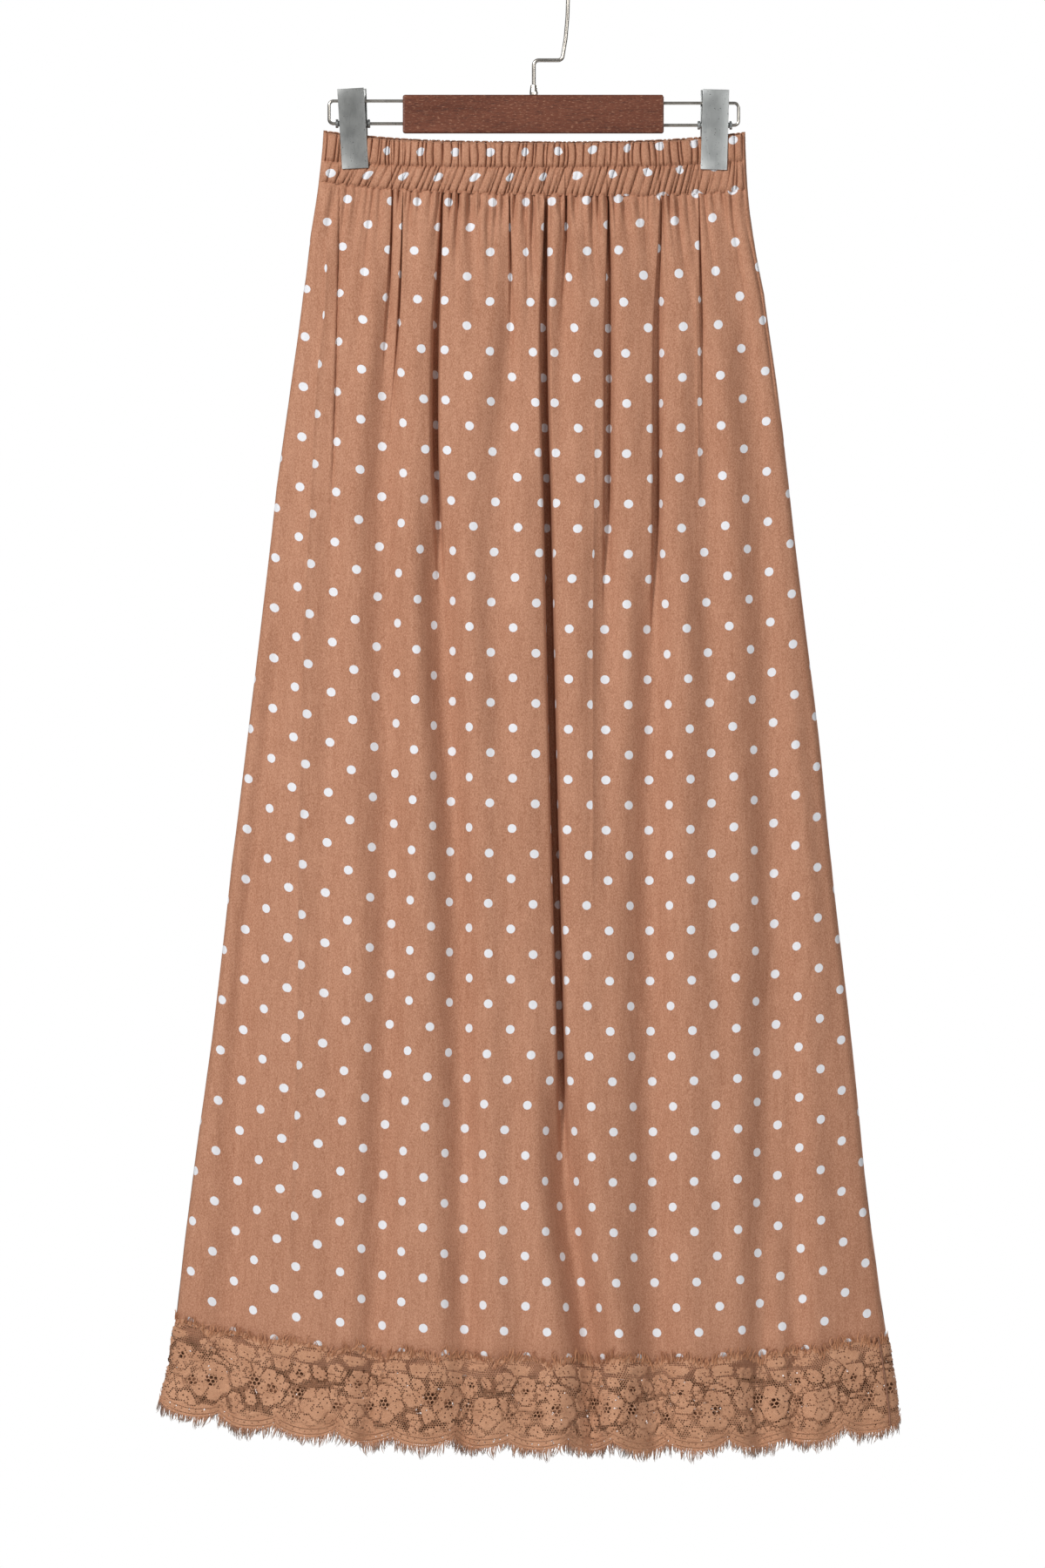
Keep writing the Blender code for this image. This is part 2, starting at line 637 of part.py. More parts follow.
def build_hanger():
    wood = material("wood", (0.155, 0.062, 0.040), 0.42)
    steel = material("steel", (0.42, 0.41, 0.38), 0.3, 1.0)
    zinc = material("zinc", (0.36, 0.37, 0.36), 0.45, 1.0)
    bar(wood)
    tube("hook", hook_route(), HOOK_RADIUS, steel)
    ferrule(steel)
    for runner in RUNNERS:
        runner_wire(runner, steel)
    for clip in CLIPS:
        pivot_sleeve(clip, zinc)
        for side in (FRONT, BACK):
            jaw(clip, side, zinc)


def build_skirt():
    twill = material("twill", (0.47, 0.26, 0.18), 0.75)
    galloon = material("galloon", (0.41, 0.23, 0.13), 0.8)
    for place, side in (("front", FRONT), ("back", BACK)):
        casing(f"casing_{place}", side, twill)
        panel(f"panel_{place}", side, twill)
        lace(f"lace_{place}", side, galloon)
        lashes(f"lashes_{place}", side, galloon)


build_hanger()
build_skirt()
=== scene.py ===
"""Looks of a maxi skirt that hangs from a clip hanger.

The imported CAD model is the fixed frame: metres, +Z up, the origin under the crown of the hook and
the front of the skirt facing -Y. Sizes in the tables and in the form of the cloth are millimetres.
"""
import math
from collections import namedtuple

import bmesh
import bpy
import numpy as np
from mathutils import Matrix, Vector


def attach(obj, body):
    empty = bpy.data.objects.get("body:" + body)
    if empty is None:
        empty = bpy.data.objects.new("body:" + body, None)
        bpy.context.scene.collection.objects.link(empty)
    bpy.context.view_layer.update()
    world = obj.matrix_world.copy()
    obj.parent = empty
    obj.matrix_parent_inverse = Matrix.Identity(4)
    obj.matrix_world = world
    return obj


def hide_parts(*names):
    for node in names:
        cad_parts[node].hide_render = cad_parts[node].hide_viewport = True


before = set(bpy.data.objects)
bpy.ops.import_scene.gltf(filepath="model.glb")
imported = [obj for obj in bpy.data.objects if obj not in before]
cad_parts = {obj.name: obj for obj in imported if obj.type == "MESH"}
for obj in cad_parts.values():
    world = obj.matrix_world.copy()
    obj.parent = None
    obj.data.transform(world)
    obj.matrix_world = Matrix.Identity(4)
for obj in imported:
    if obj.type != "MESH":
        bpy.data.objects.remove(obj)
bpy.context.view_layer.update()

MM = 0.001
FRONT, BACK = -1.0, 1.0
UP = np.array((0.0, 0.0, 1.0))


def table(kind, *rows):
    """Rows of numbers by their names."""
    return [kind(*row) for row in rows]


class Level(namedtuple("Level", "left middle right")):
    """Heights of a line across a side: at its left seam, its middle and its right seam."""

    def upright(self):
        """The same levels as one column."""
        return Level(*(height[:, None] for height in self))


# ---------------------------------------------------------------- sizes of the skirt, mm
SEAM_GAP = 0.3            # between the front and the back at the side seams
FOOT_GAP = 0.4            # between the casing's foot and the panel
SIDE_ROUND = 5.0          # how far the cloth takes to turn round a side seam
FLAT_DEPTH = 3.3          # from the seam plane to the outside where the clips press the casing
ROUNDNESS = 0.7           # how fast the flattened tube fills out from its side seams
CLIP_REACH = (12.0, 52.0)                 # from the middle of a clip: pressed and free cloth
PRESS_HEIGHTS = (-262.0, -162.0)          # free below the first and pressed above the second
CLIP_PLACES = (-135.0, 135.1)
CLIP_HOLD = 0.6           # how far a clip presses the gathers flat
JAW_PRESS = (8.5, 11.5)   # from the middle of a clip: pressed and free casing

BAND_TOP = Level(-131.3, -139.3, -132.4)
BAND_STITCH = Level(-152.4, -157.5, -152.4)
BAND_FOOT = Level(-168.0, -178.4, -174.2)
CLOTH_HEM = Level(-1040.0, -1068.6, -1053.0)
PANEL_DROP = BAND_FOOT.middle - CLOTH_HEM.middle

# The flat cloth: a panel's width under the casing and at its hem, mm, and the cuts in metres.
CUT_WAIST, CUT_HEM = 454.0, 658.0

Outline = namedtuple("Outline", "z left right front back")
OUTLINE = table(
    Outline,
    (-131.0, -157.0, 157.8, 9.0, 9.0),
    (-175.0, -161.3, 159.7, 9.8, 9.4),
    (-207.0, -166.5, 163.6, 12.0, 11.2),
    (-252.0, -172.2, 172.0, 14.5, 13.2),
    (-341.0, -184.0, 184.0, 18.5, 17.0),
    (-396.0, -192.0, 190.5, 20.5, 19.0),
    (-487.0, -202.3, 201.0, 23.5, 21.5),
    (-585.0, -214.0, 213.0, 26.0, 24.0),
    (-677.0, -225.5, 222.2, 28.5, 26.0),
    (-806.0, -240.0, 236.8, 31.5, 28.5),
    (-926.0, -256.2, 248.6, 34.5, 31.0),
    (-1010.0, -265.9, 259.8, 36.5, 33.0),
    (-1050.0, -271.5, 266.5, 37.5, 34.0),
    (-1090.0, -280.5, 271.6, 38.5, 35.0),
    (-1130.0, -284.0, 272.5, 39.0, 35.5),
)

# The long folds: middle of the trough and its depth at six heights, the trough's width, how far its
# left lip laps over it (below 0: the right lip), and the half width of its narrow slot, where the
# slot has closed and how softly the slot's right wall trails off.
FOLD_HEIGHTS = (-180.0, -290.0, -410.0, -690.0, -920.0, -1060.0)
Fold = namedtuple("Fold", "places depths width lap slot slot_end trail")
FRONT_FOLDS = table(
    Fold,
    ((-150, -168, -186, -213, -222, -229), (0, 1, 2.5, 6.5, 6.5, 5.5), 10, 0, 0, 0, 1),
    ((-145.6, -147.5, -151, -155, -150, -147), (3, 3.2, 3, 2.5, 2, 2), 7, 0.8, 0.8, -420, 1.5),
    ((-106, -110.5, -118, -123, -127, -132), (6, 6, 1, 0, 0, 0), 7, 0.8, 1.3, -290, 2.0),
    ((-97.5, -102, -111, -109, -113, -120), (5, 6.2, 7, 8, 8, 7.5), 9, -0.8, 0.9, -330, 1.3),
    ((-68, -72.8, -71.5, -58, -52, -50), (6, 12.5, 14, 12, 10.5, 9.5), 9, -1.2, 2.7, -450, 1.0),
    ((-18, -17.5, -26, -28, -18, -10), (5.5, 7, 4.5, 2.5, 3, 3), 10, -0.8, 1.3, -270, 1.5),
    ((-5.8, -4, -4, -4, -4, -4), (4.5, 2.5, 0, 0, 0, 0), 5, 0, 0.8, -240, 1.0),
    ((8, 7.2, 9.8, 16.3, 24, 43), (8, 15, 18, 19, 17, 13), 9, 1.8, 3.2, -880, 1.0),
    ((23.5, 21, 20, 25, 32, 48), (6, 5, 0.8, 0, 0, 0), 7, 0.8, 1.4, -250, 2.2),
    ((55, 54.6, 54, 53, 53, 53), (6, 11.5, 11, 3, 0.5, 0), 9, 1.6, 2.4, -470, 1.7),
    ((94, 91, 90.5, 88, 86, 86), (5, 8.5, 12, 4, 0.5, 0), 9, 1.8, 2.6, -490, 1.6),
    ((76, 76, 77, 84, 88, 92), (0, 0.5, 2, 7.5, 9.5, 10), 11.5, 0, 0, 0, 1),
    ((122.8, 125, 129, 133, 137, 139), (4.5, 5.5, 4.2, 2, 1, 0), 8, 1.2, 1.0, -330, 2.4),
    ((138.5, 157, 168, 177, 174, 171), (2, 3.5, 5, 8, 8.5, 8.5), 9, 0, 0, 0, 1),
    ((150, 168, 180, 191, 193, 194), (0, 0, 0, 2, 6, 8), 7, 0, 0, 0, 1),
)
BACK_FOLDS = table(
    Fold,
    ((140, 160, 172, 196, 208, 214), (1, 2, 3, 5, 5, 5), 11, 0, 0, 0, 1),
    ((118, 120, 122, 130, 136, 140), (3.5, 6, 7.5, 8, 7, 6), 9, 0.8, 2.0, -420, 1.6),
    ((82, 80, 78, 70, 67, 66), (3, 6, 7, 7.5, 7, 7), 10, 0.5, 1.2, -320, 2.0),
    ((44, 42, 40, 34, 27, 22), (4.5, 9, 11, 12, 10, 8), 9, 1.2, 2.8, -620, 1.2),
    ((12, 9, 6, -2, -10, -16), (3.5, 5, 6, 4, 3, 3), 9, 0.5, 1.2, -290, 1.5),
    ((-30, -32, -34, -44, -53, -60), (5, 10, 12, 13, 11, 10), 9, 1.4, 3.0, -700, 1.0),
    ((-62, -65, -68, -70, -70, -70), (4, 5.5, 5, 1, 0, 0), 8, 0.8, 1.2, -300, 2.0),
    ((-94, -97, -100, -108, -111, -112), (4, 7, 8, 8.5, 8, 7), 10, -0.8, 2.3, -460, 1.4),
    ((-124, -129, -134, -150, -156, -160), (3, 5, 6.5, 7.5, 7, 6), 9, 0.5, 1.3, -330, 1.8),
    ((-146, -160, -170, -194, -207, -216), (1, 2.5, 4, 5, 5, 5), 11, 0, 0, 0, 1),
)
LIP, LIP_PLACE = 0.22, 2.5                # swelling beside a fold, as shares of its depth and width
FOLD_NARROW = 0.45        # width of a fold under the casing, as a share of its full width
FOLD_OPENS = 220.0        # distance below the casing where it has its full width
FOLD_START = 5.0          # distance below the casing where it has its full depth
FOLD_FROM_SEAM = (2.0, 18.0)              # from a side seam: no folds and full folds
SLOT_FADE = (-40.0, 90.0)                 # from the height where a slot ends: none and the full slot
SLOT_SHARE = 0.85         # how much of a fold's depth its slot takes
SLOT_NARROW, SLOT_OPENS = 0.3, 110.0      # the same two sizes for the slots
LEAST_DEPTH, LEAST_BLEND = 0.9, 0.5       # how near the seam plane a fold may draw the cloth
SLOW_WAVES = 0.8          # depth of the cloth's slow unevenness
OUTWARD_STEP = 0.0006     # share of the width over which the cloth's direction is taken

# Sharp lines in the cloth: pressed ridges stand out and thin creases lie in. The tuck is the width
# of cloth that lies hidden under a line.
Line = namedtuple("Line", "heights places rise width tuck")
TUCK_WIDTH, TUCK_RUN = 1.3, 60.0
FRONT_LINES = (
    Line((-195, -257, -315, -354, -484, -556, -682, -812, -916, -1000),
         (-154.7, -156, -162, -164.5, -171, -173.6, -176, -176.8, -180.7, -184), 1.9, 2.4, 8.0),
    Line((-225, -290, -394, -430), (120.4, 121.6, 122.9, 124), 1.3, 1.8, 4.0),
    Line((-330, -420, -520, -640, -720), (45, 44.5, 44, 44, 43.5), 0.9, 1.6, 6.5),
    Line((-195, -227, -252, -285, -328, -360), (158, 164.5, 169.5, 174.5, 180, 184), -1.6, 0.9, 0.0),
)
BACK_LINES = (
    Line((-240, -400, -700, -1000), (158, 168, 180, 190), 1.2, 2.6, 6.0),
    Line((-240, -420, -640, -900), (-18, -14, -22, -30), 0.8, 2.2, 5.0),
)

# After the seed: columns and rows of the panel's mesh, columns of the casing's, the cell of the
# lace's fine net, where in its repeat the lace starts, and how far apart its lower and upper lashes are.
Side = namedtuple(
    "Side", "name sign folds lines seed panel_grid casing_columns fine_cell chart_start lash_spacing")
SIDES = (
    Side("front", FRONT, FRONT_FOLDS, FRONT_LINES, 11, (560, 150), 1301, 1.7, 0.0, (0.6, 0.95)),
    Side("back", BACK, BACK_FOLDS, BACK_LINES, 23, (400, 110), 841, 2.0, 1.43, (0.8, 1.6)),
)

# Short gathers under the casing: least and greatest depth, width and reach, and how far they drift.
GATHER_COUNT = 56
GATHER_DEPTH, GATHER_WIDTH, GATHER_REACH, GATHER_DRIFT = (2.2, 6.2), (0.75, 1.3), (12.0, 36.0), 1.5
PUCKER_DEPTH, PUCKER_REACH = 0.7, 2.5     # puckers just under the casing

# The casing: two channels of elastic between its top fold and its two rows of stitches.
CHANNEL_ROWS = (0.0, 0.02, 0.05, 0.1, 0.18, 0.3, 0.42, 0.56, 0.7, 0.8, 0.87, 0.92, 0.96, 0.985)
TOP_TURNS = (160.0, 125.0, 90.0, 60.0, 30.0)      # the rows of the folded top edge, in degrees
PANEL_WALL, CASING_WALL = 1.0, 1.4        # from the outside to the plain inside
CRINKLE_COUNT, CRINKLE_DEPTH = 70, 4.1
CRINKLE_SHARE = 0.45      # how far the crinkles swallow the print
CRINKLE_PUFF = 0.8        # how far the cloth bulges between two creases
CREASE_WIDTH = 0.4        # of the thin crease between two crinkles
CRINKLE_LEAN = 6.8        # how far a crinkle of the lower channel leans to the right, going up
CHANNEL_PUFF = 1.0        # how far a channel swells between its stitches
STITCH_GROOVE = 1.1       # how deep the stitches draw the casing in
BACK_TOP_RISE = 1.6       # how far the back's top edge shows over the front's
PUCKER_PITCH = 2.7
TOP_FOLD = 1.3            # radius of the folded top edge
STITCH_LENGTH, STITCH_PITCH, STITCH_BEND, THREAD_RADIUS = 1.9, 2.7, 0.28, 0.17
STITCH_SHAPE = (0.5, 1.0, 1.1, 1.0, 0.5)
STITCH_ROWS = ((0.5, -1.35), (0.995, -1.2))       # share of the casing's height, and lift

# Dots of the print, mm on the flat cloth.
DOT_PITCH, DOT_RADIUS = 37.4, 3.4
DOT_PHASE = (-67.0, -202.2)
WAIST_HALF, WEFT_BOW, WEFT_TILT = 158.0, 6.6, 3.3
EVEN_PRINT = 13.0         # how far below the casing the print runs straight over the first folds

# The lace border, mm along its own edge and down from its top.
LACE_TOP = 0.971          # where it begins, as a share of the panel's drop
LACE_SCALLOPS = 13
HEM_SHARE = 0.990         # where the cloth ends behind the lace, as a share of the panel's drop
HEM_TUCK = 8.0            # how far the cloth's hem hangs back behind the lace
LACE_DEPTH = 70.0
LACE_LIFT = (0.3, 1.6)    # lift off the cloth at the lace's top and below it
SCALLOP_RISE, TOP_RISE = 9.5, 8.5       # how deep the notches of both edges are
UPPER_LASH, LOWER_LASH = 13.5, 12.5
LASH_RADIUS, LASH_SIDES = 0.38, 3
LASH_TAPER = (0.9, 1.0, 0.95, 0.8, 0.6, 0.2)
SEAM_INSET, HEM_WIDTH = 7.0, 538.0      # the lace's side seam, from the right edge of its width


# ---------------------------------------------------------------- small maths on arrays
def smooth(low, high, value):
    """0 below low, 1 above high, with soft ends."""
    share = np.clip((value - low) / (high - low), 0.0, 1.0)
    return share * share * (3.0 - 2.0 * share)


def hump(value, width=1.0):
    """1 at 0, falling away softly on both sides."""
    return np.exp(-0.5 * (value / width) ** 2)


def unit(vectors):
    """The same directions with length 1."""
    return vectors / np.maximum(np.linalg.norm(vectors, axis=-1, keepdims=True), 1e-9)


def spaced(size, count):
    """Numbers of so many rows out of all, evenly spaced and with both ends."""
    return np.linspace(0, size - 1, count).round().astype(int)


def between(stations, values, at):
    """A soft curve through values given at falling stations."""
    stations, values = np.asarray(stations, float), np.asarray(values, float)
    at = np.clip(at, stations[-1], stations[0])
    index = np.clip(np.searchsorted(-stations, -at, side="right") - 1, 0, len(stations) - 2)
    share = (stations[index] - at) / (stations[index] - stations[index + 1])
    before = values[np.maximum(index - 1, 0)]
    start, end = values[index], values[index + 1]
    after = values[np.minimum(index + 2, len(values) - 1)]
    curve = (end - before) * share
    curve += (2.0 * before - 5.0 * start + 4.0 * end - after) * share ** 2
    curve += (3.0 * (start - end) + after - before) * share ** 3
    return start + 0.5 * curve


def outline(column, z):
    """One measure of the skirt's outline at a height."""
    return between([row.z for row in OUTLINE], [getattr(row, column) for row in OUTLINE], z)


def level_height(level, u):
    """Height of a level at u, the share of the way from the left seam to the right one."""
    bow = 1.0 - np.abs(2.0 * u - 1.0) ** 3
    straight = level.left + (level.right - level.left) * u
    return straight + (level.middle - 0.5 * (level.left + level.right)) * bow


def panel_level(share):
    """A level of the panel or, past 1, of the lace that hangs below it."""
    start = Level(*(height - FOOT_GAP for height in BAND_FOOT))
    return Level(*(a + (b - a) * share for a, b in zip(start, CLOTH_HEM)))


def casing_level(share):
    """A level of the casing: 0 at its top, 0.5 at its middle stitches and 1 at its foot."""
    levels = zip(BAND_TOP, BAND_STITCH, BAND_FOOT)
    return Level(*(np.interp(share, (0.0, 0.5, 1.0), heights) for heights in levels))


def waver(x, z, seed, scale):
    """Soft unevenness from -1 to 1 or so, never quite repeating."""
    draw = np.random.default_rng(seed)
    total = 0.0
    for size in (1.0, 0.62, 0.41, 0.27):
        turn, phase = draw.uniform(0.0, math.tau, 2)
        across, down = math.cos(turn), 0.35 * math.sin(turn)
        total = total + size * np.sin(math.tau * (x * across + z * down) / (scale * size) + phase)
    return total / 1.6


# ---------------------------------------------------------------- the form of the hanging cloth
def clip_press(x, z):
    """1 where a clip presses the casing flat, 0 where the cloth is free."""
    free = np.minimum.reduce([smooth(*CLIP_REACH, np.abs(x - place)) for place in CLIP_PLACES])
    return (1.0 - free) * smooth(*PRESS_HEIGHTS, z)


def swell(side, u, x, z):
    """How far the cloth stands from the seam plane before its folds."""
    fullness = np.sin(np.pi * np.clip(u, 0.0, 1.0)) ** ROUNDNESS * (1.0 - clip_press(x, z))
    return FLAT_DEPTH + (outline(side.name, z) - FLAT_DEPTH) * fullness


def slot_shape(offset, half, trail):
    """1 in a slot and 0 outside it, with steep walls; the right one may trail off softly."""
    right = offset > 0.0
    reach = np.where(right, half * trail, half)
    return 1.0 / (1.0 + np.abs(offset / reach) ** np.where(right, 6.0 / trail, 6.0))


def long_folds(side, x, z, below):
    """How far the long folds draw the cloth in, and how far their lips lap over them."""
    depth, lap = np.zeros_like(x), np.zeros_like(x)
    opening = FOLD_NARROW + (1.0 - FOLD_NARROW) * smooth(0.0, FOLD_OPENS, below)
    slot_opening = SLOT_NARROW + (1.0 - SLOT_NARROW) * smooth(0.0, SLOT_OPENS, below)
    for fold in side.folds:
        deep = between(FOLD_HEIGHTS, fold.depths, z)
        offset = x - between(FOLD_HEIGHTS, fold.places, z)
        width = fold.width * opening
        trough = hump(offset, width) - LIP * hump(np.abs(offset) - LIP_PLACE * width, width)
        if fold.slot > 0.0:
            half = fold.slot * slot_opening
            share = SLOT_SHARE * smooth(*SLOT_FADE, z - fold.slot_end)
            slot = slot_shape(offset, half, fold.trail)
            lip = hump(offset + math.copysign(1.0, fold.lap) * half, 1.3 * half)
            lap += fold.lap * share * lip * (1.0 - slot)
            trough = share * slot + (1.0 - share) * trough
        depth += deep * trough
    return depth, lap


def line_reach(line, z, foot_fade, top_fade):
    """1 along a sharp line, fading out towards its ends."""
    top, foot = line.heights[0], line.heights[-1]
    return smooth(foot, foot + foot_fade, z) * (1.0 - smooth(top - top_fade, top, z))


def sharp_lines(side, x, z):
    """Height of the pressed ridges and, below 0, of the thin creases."""
    height = np.zeros_like(x)
    for line in side.lines:
        offset = np.abs(x - between(line.heights, line.places, z)) / line.width
        height += line.rise * line_reach(line, z, 60.0, 25.0) * np.exp(-offset)
    return height


def tucked_cloth(side, x, z):
    """How much cloth lies hidden under the lines to the left of each place."""
    hidden = np.zeros_like(x)
    for line in side.lines:
        offset = (x - between(line.heights, line.places, z)) / TUCK_WIDTH
        share = smooth(-1.0, 1.0, offset) - smooth(-TUCK_RUN, TUCK_RUN, offset)
        hidden += line.tuck * line_reach(line, z, 90.0, 60.0) * share
    return hidden


def gather_depth(side, across, span, below):
    """How far the short gathers draw the cloth in; across is in mm from the left seam."""
    draw = np.random.default_rng(side.seed)
    depth = np.zeros_like(across)
    for index in range(GATHER_COUNT):
        place = (index + 0.5 + draw.uniform(-0.45, 0.45)) / GATHER_COUNT
        deep, width = draw.uniform(*GATHER_DEPTH), draw.uniform(*GATHER_WIDTH)
        down = below / (draw.uniform(*GATHER_REACH) * (0.5 + 0.3 * deep))
        middle = place * span + draw.uniform(-GATHER_DRIFT, GATHER_DRIFT) * down
        offset = np.abs(across - middle) / (width * (1.0 + 1.8 * down))
        shape = np.exp(-offset ** 1.2) - 0.32 * hump(offset - 2.6, 1.2)
        depth += deep * np.exp(-down ** 1.5) * shape
    return depth


def pucker(side, u):
    """Small puckers along a row of stitches, 0 to 1."""
    draw = np.random.default_rng(side.seed + 3)
    count = int(320.0 / PUCKER_PITCH)
    places = np.concatenate([[0.0], np.cumsum(draw.uniform(0.6, 1.4, count))])
    place = np.interp(u, places / places[-1], np.arange(count + 1))
    return np.sin(np.pi * (place - np.floor(place))) ** 0.7


def cloth(side, u, level, lift=0.0, gathered=True):
    """Points of the cloth's outside at u on a level, as one array of x, y and z in mm."""
    x_left, x_right = outline("left", level.left), outline("right", level.right)
    span = x_right - x_left
    x = x_left + span * u
    z = level_height(level, u) + 0.0 * x
    from_seam = np.maximum(np.minimum(x - x_left, x_right - x), 0.0)
    near_seam = smooth(*FOLD_FROM_SEAM, from_seam)
    below = np.maximum(level_height(BAND_FOOT, u) - z, 0.0)
    folds, lap = long_folds(side, x, z, below)
    start = smooth(-2.0, FOLD_START, below) * near_seam
    relief = sharp_lines(side, x, z) * smooth(0.5, 2.5, from_seam) - folds * start
    if gathered:
        fine_seam = smooth(0.5, 6.0, from_seam)
        held = fine_seam * (1.0 - CLIP_HOLD * clip_press(x, z))
        relief -= gather_depth(side, x - x_left, span, below) * held
        relief -= PUCKER_DEPTH * (1.0 - pucker(side, u)) * np.exp(-below / PUCKER_REACH) * fine_seam
        slow = waver(x, z, side.seed + 5, 78.0) + 0.5 * waver(x, z, side.seed + 6, 34.0)
        relief += SLOW_WAVES * slow * smooth(0.0, 90.0, below) * near_seam
    turn = np.sqrt(1.0 - (1.0 - np.minimum(from_seam / SIDE_ROUND, 1.0)) ** 2)
    spare = (swell(side, u, x, z) + relief - LEAST_DEPTH) / LEAST_BLEND
    depth = LEAST_DEPTH + LEAST_BLEND * np.logaddexp(0.0, spare) + lift
    return np.stack([x + lap * start, side.sign * (0.5 * SEAM_GAP + depth * turn), z], axis=-1)


def outward(side, u, level):
    """Directions square off the cloth, in the plane of a level."""
    before, after = (cloth(side, np.clip(u + step, 0.0, 1.0), level, gathered=False)
                     for step in (-OUTWARD_STEP, OUTWARD_STEP))
    along = after - before
    return unit(np.stack([-along[..., 1], along[..., 0], np.zeros_like(u)], axis=-1) * side.sign)


def tracked_columns(side, count, levels):
    """Shares of the width for each level: columns that follow the main folds, closer at them."""
    main = [fold for fold in side.folds if max(fold.depths) > 5.0 and fold.depths[0] > 0.0]
    main = sorted(main, key=lambda fold: fold.places[2])
    x_left, x_right = outline("left", levels.left), outline("right", levels.right)
    heights = 0.5 * (levels.left + levels.right)
    knots = [(between(FOLD_HEIGHTS, fold.places, heights) - x_left) / (x_right - x_left) for fold in main]
    knots = np.stack([np.zeros_like(x_left), *knots, np.ones_like(x_left)], axis=-1)
    homes = knots.mean(axis=0)
    fine = np.linspace(0.0, 1.0, 4001)
    density = np.ones_like(fine)
    for home, fold in zip(homes[1:-1], main):
        density += 1.1 * fold.slot * hump(fine - home, 0.004 + 0.0035 * fold.slot)
    density += 2.5 * (np.exp(-fine / 0.008) + np.exp(-(1.0 - fine) / 0.008))
    filled = np.concatenate([[0.0], np.cumsum(0.5 * (density[1:] + density[:-1]))])
    columns = np.interp(np.linspace(0.0, 1.0, count), filled / filled[-1], fine)
    return np.stack([np.interp(columns, homes, row) for row in knots])


def cut_width(drop_share):
    """Flat width of a panel at a share of its drop."""
    return CUT_WAIST + (CUT_HEM - CUT_WAIST) * np.clip(drop_share, 0.0, 1.05)


def weft_rise(x):
    """How far a thread that runs across the cloth rises at the casing, from its middle outwards."""
    share = x / WAIST_HALF
    return WEFT_BOW * share ** 2 + WEFT_TILT * share


def cut_places(points, widths, rows_z):
    """Where each point lies on the flat cloth, and how much narrower the cloth is drawn there."""
    steps = np.linalg.norm(np.diff(points[..., :2], axis=1), axis=-1)
    run = np.concatenate([np.zeros((len(points), 1)), np.cumsum(steps, axis=1)], axis=1)
    widths = np.reshape(widths, (-1, 1))
    across = (run / run[:, -1:] - 0.5) * widths
    squeeze = run[:, -1:] / widths + 0.0 * across
    return np.stack([across, rows_z, squeeze], axis=-1)


# ---------------------------------------------------------------- meshes
def placed(name, data):
    """A new object of the scene."""
    made = bpy.data.objects.new(name, data)
    bpy.context.scene.collection.objects.link(made)
    return made


def new_piece(name, points, faces, finish, slot, replaces=(), cut=None, smooth_shade=True):
    """A mesh given in mm as a piece that rides with the skirt and hanger."""
    mesh = bpy.data.meshes.new(name)
    mesh.from_pydata((np.reshape(points, (-1, 3)) * MM).tolist(), [], faces)
    if cut is not None:
        layer = mesh.attributes.new("cut", "FLOAT_VECTOR", "POINT")
        layer.data.foreach_set("vector", np.reshape(cut, -1).astype(np.float32))
    if smooth_shade:
        mesh.shade_smooth()
    mesh.materials.append(finish)
    mesh.update()
    piece = placed(name, mesh)
    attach(piece, "root")
    if replaces:
        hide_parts(*replaces)
    return piece


def face_outwards(piece, sharp_angle=None, rounding=0.0):
    """Turns the faces of a closed piece outwards, and rounds its sharp edges by so many mm."""
    shape = bmesh.new()
    shape.from_mesh(piece.data)
    bmesh.ops.recalc_face_normals(shape, faces=shape.faces)
    if rounding > 0.0:
        edges = [edge for edge in shape.edges if edge.calc_face_angle(0.0) > math.radians(35.0)]
        bmesh.ops.bevel(shape, geom=edges, offset=rounding * MM, segments=3, profile=0.5, affect="EDGES")
    shape.to_mesh(piece.data)
    shape.free()
    if sharp_angle is not None:
        piece.data.shade_smooth()
        piece.data.set_sharp_from_angle(angle=math.radians(sharp_angle))


def grid_faces(corner):
    """Quads of a grid whose points have these numbers."""
    quads = (corner[:-1, :-1], corner[1:, :-1], corner[1:, 1:], corner[:-1, 1:])
    return np.stack(quads, axis=-1).reshape(-1, 4).tolist()


def round_faces(number):
    """Quads between rings of points; the numbers of each ring's points go once round it."""
    turned = np.roll(number, -1, axis=-1)
    quads = (number[..., :-1, :], turned[..., :-1, :], turned[..., 1:, :], number[..., 1:, :])
    return np.stack(quads, axis=-1).reshape(-1, 4).tolist()


def strip_faces(long_edge, short_edge):
    """Triangles between two edges that may have different numbers of points."""
    faces, i, j = [], 0, 0
    last_i, last_j = len(long_edge) - 1, len(short_edge) - 1
    while i < last_i or j < last_j:
        if j == last_j or (i < last_i and (i + 1) * last_j <= (j + 1) * last_i):
            faces.append((long_edge[i], long_edge[i + 1], short_edge[j]))
            i += 1
        else:
            faces.append((long_edge[i], short_edge[j + 1], short_edge[j]))
            j += 1
    return faces


def shell(name, outer, inner, cut, finish, replaces):
    """A closed sheet of cloth: a fine outside and a plain inside whose points are every few of it."""
    out = np.arange(outer.size // 3).reshape(outer.shape[:2])
    back = out.size + np.arange(inner.size // 3).reshape(inner.shape[:2])
    faces = grid_faces(out) + grid_faces(back)
    for near, far in ((out[0], back[0]), (out[-1], back[-1]), (out[:, 0], back[:, 0]),
                      (out[:, -1], back[:, -1])):
        faces += strip_faces(near.tolist(), far.tolist())
    points = np.concatenate([outer.reshape(-1, 3), inner.reshape(-1, 3)])
    inner_cut = cut[np.ix_(spaced(len(out), len(back)), spaced(out.shape[1], back.shape[1]))]
    places = np.concatenate([cut.reshape(-1, 3), inner_cut.reshape(-1, 3)])
    piece = new_piece(name, points, faces, finish, "twill", replaces, places)
    face_outwards(piece)
    return piece


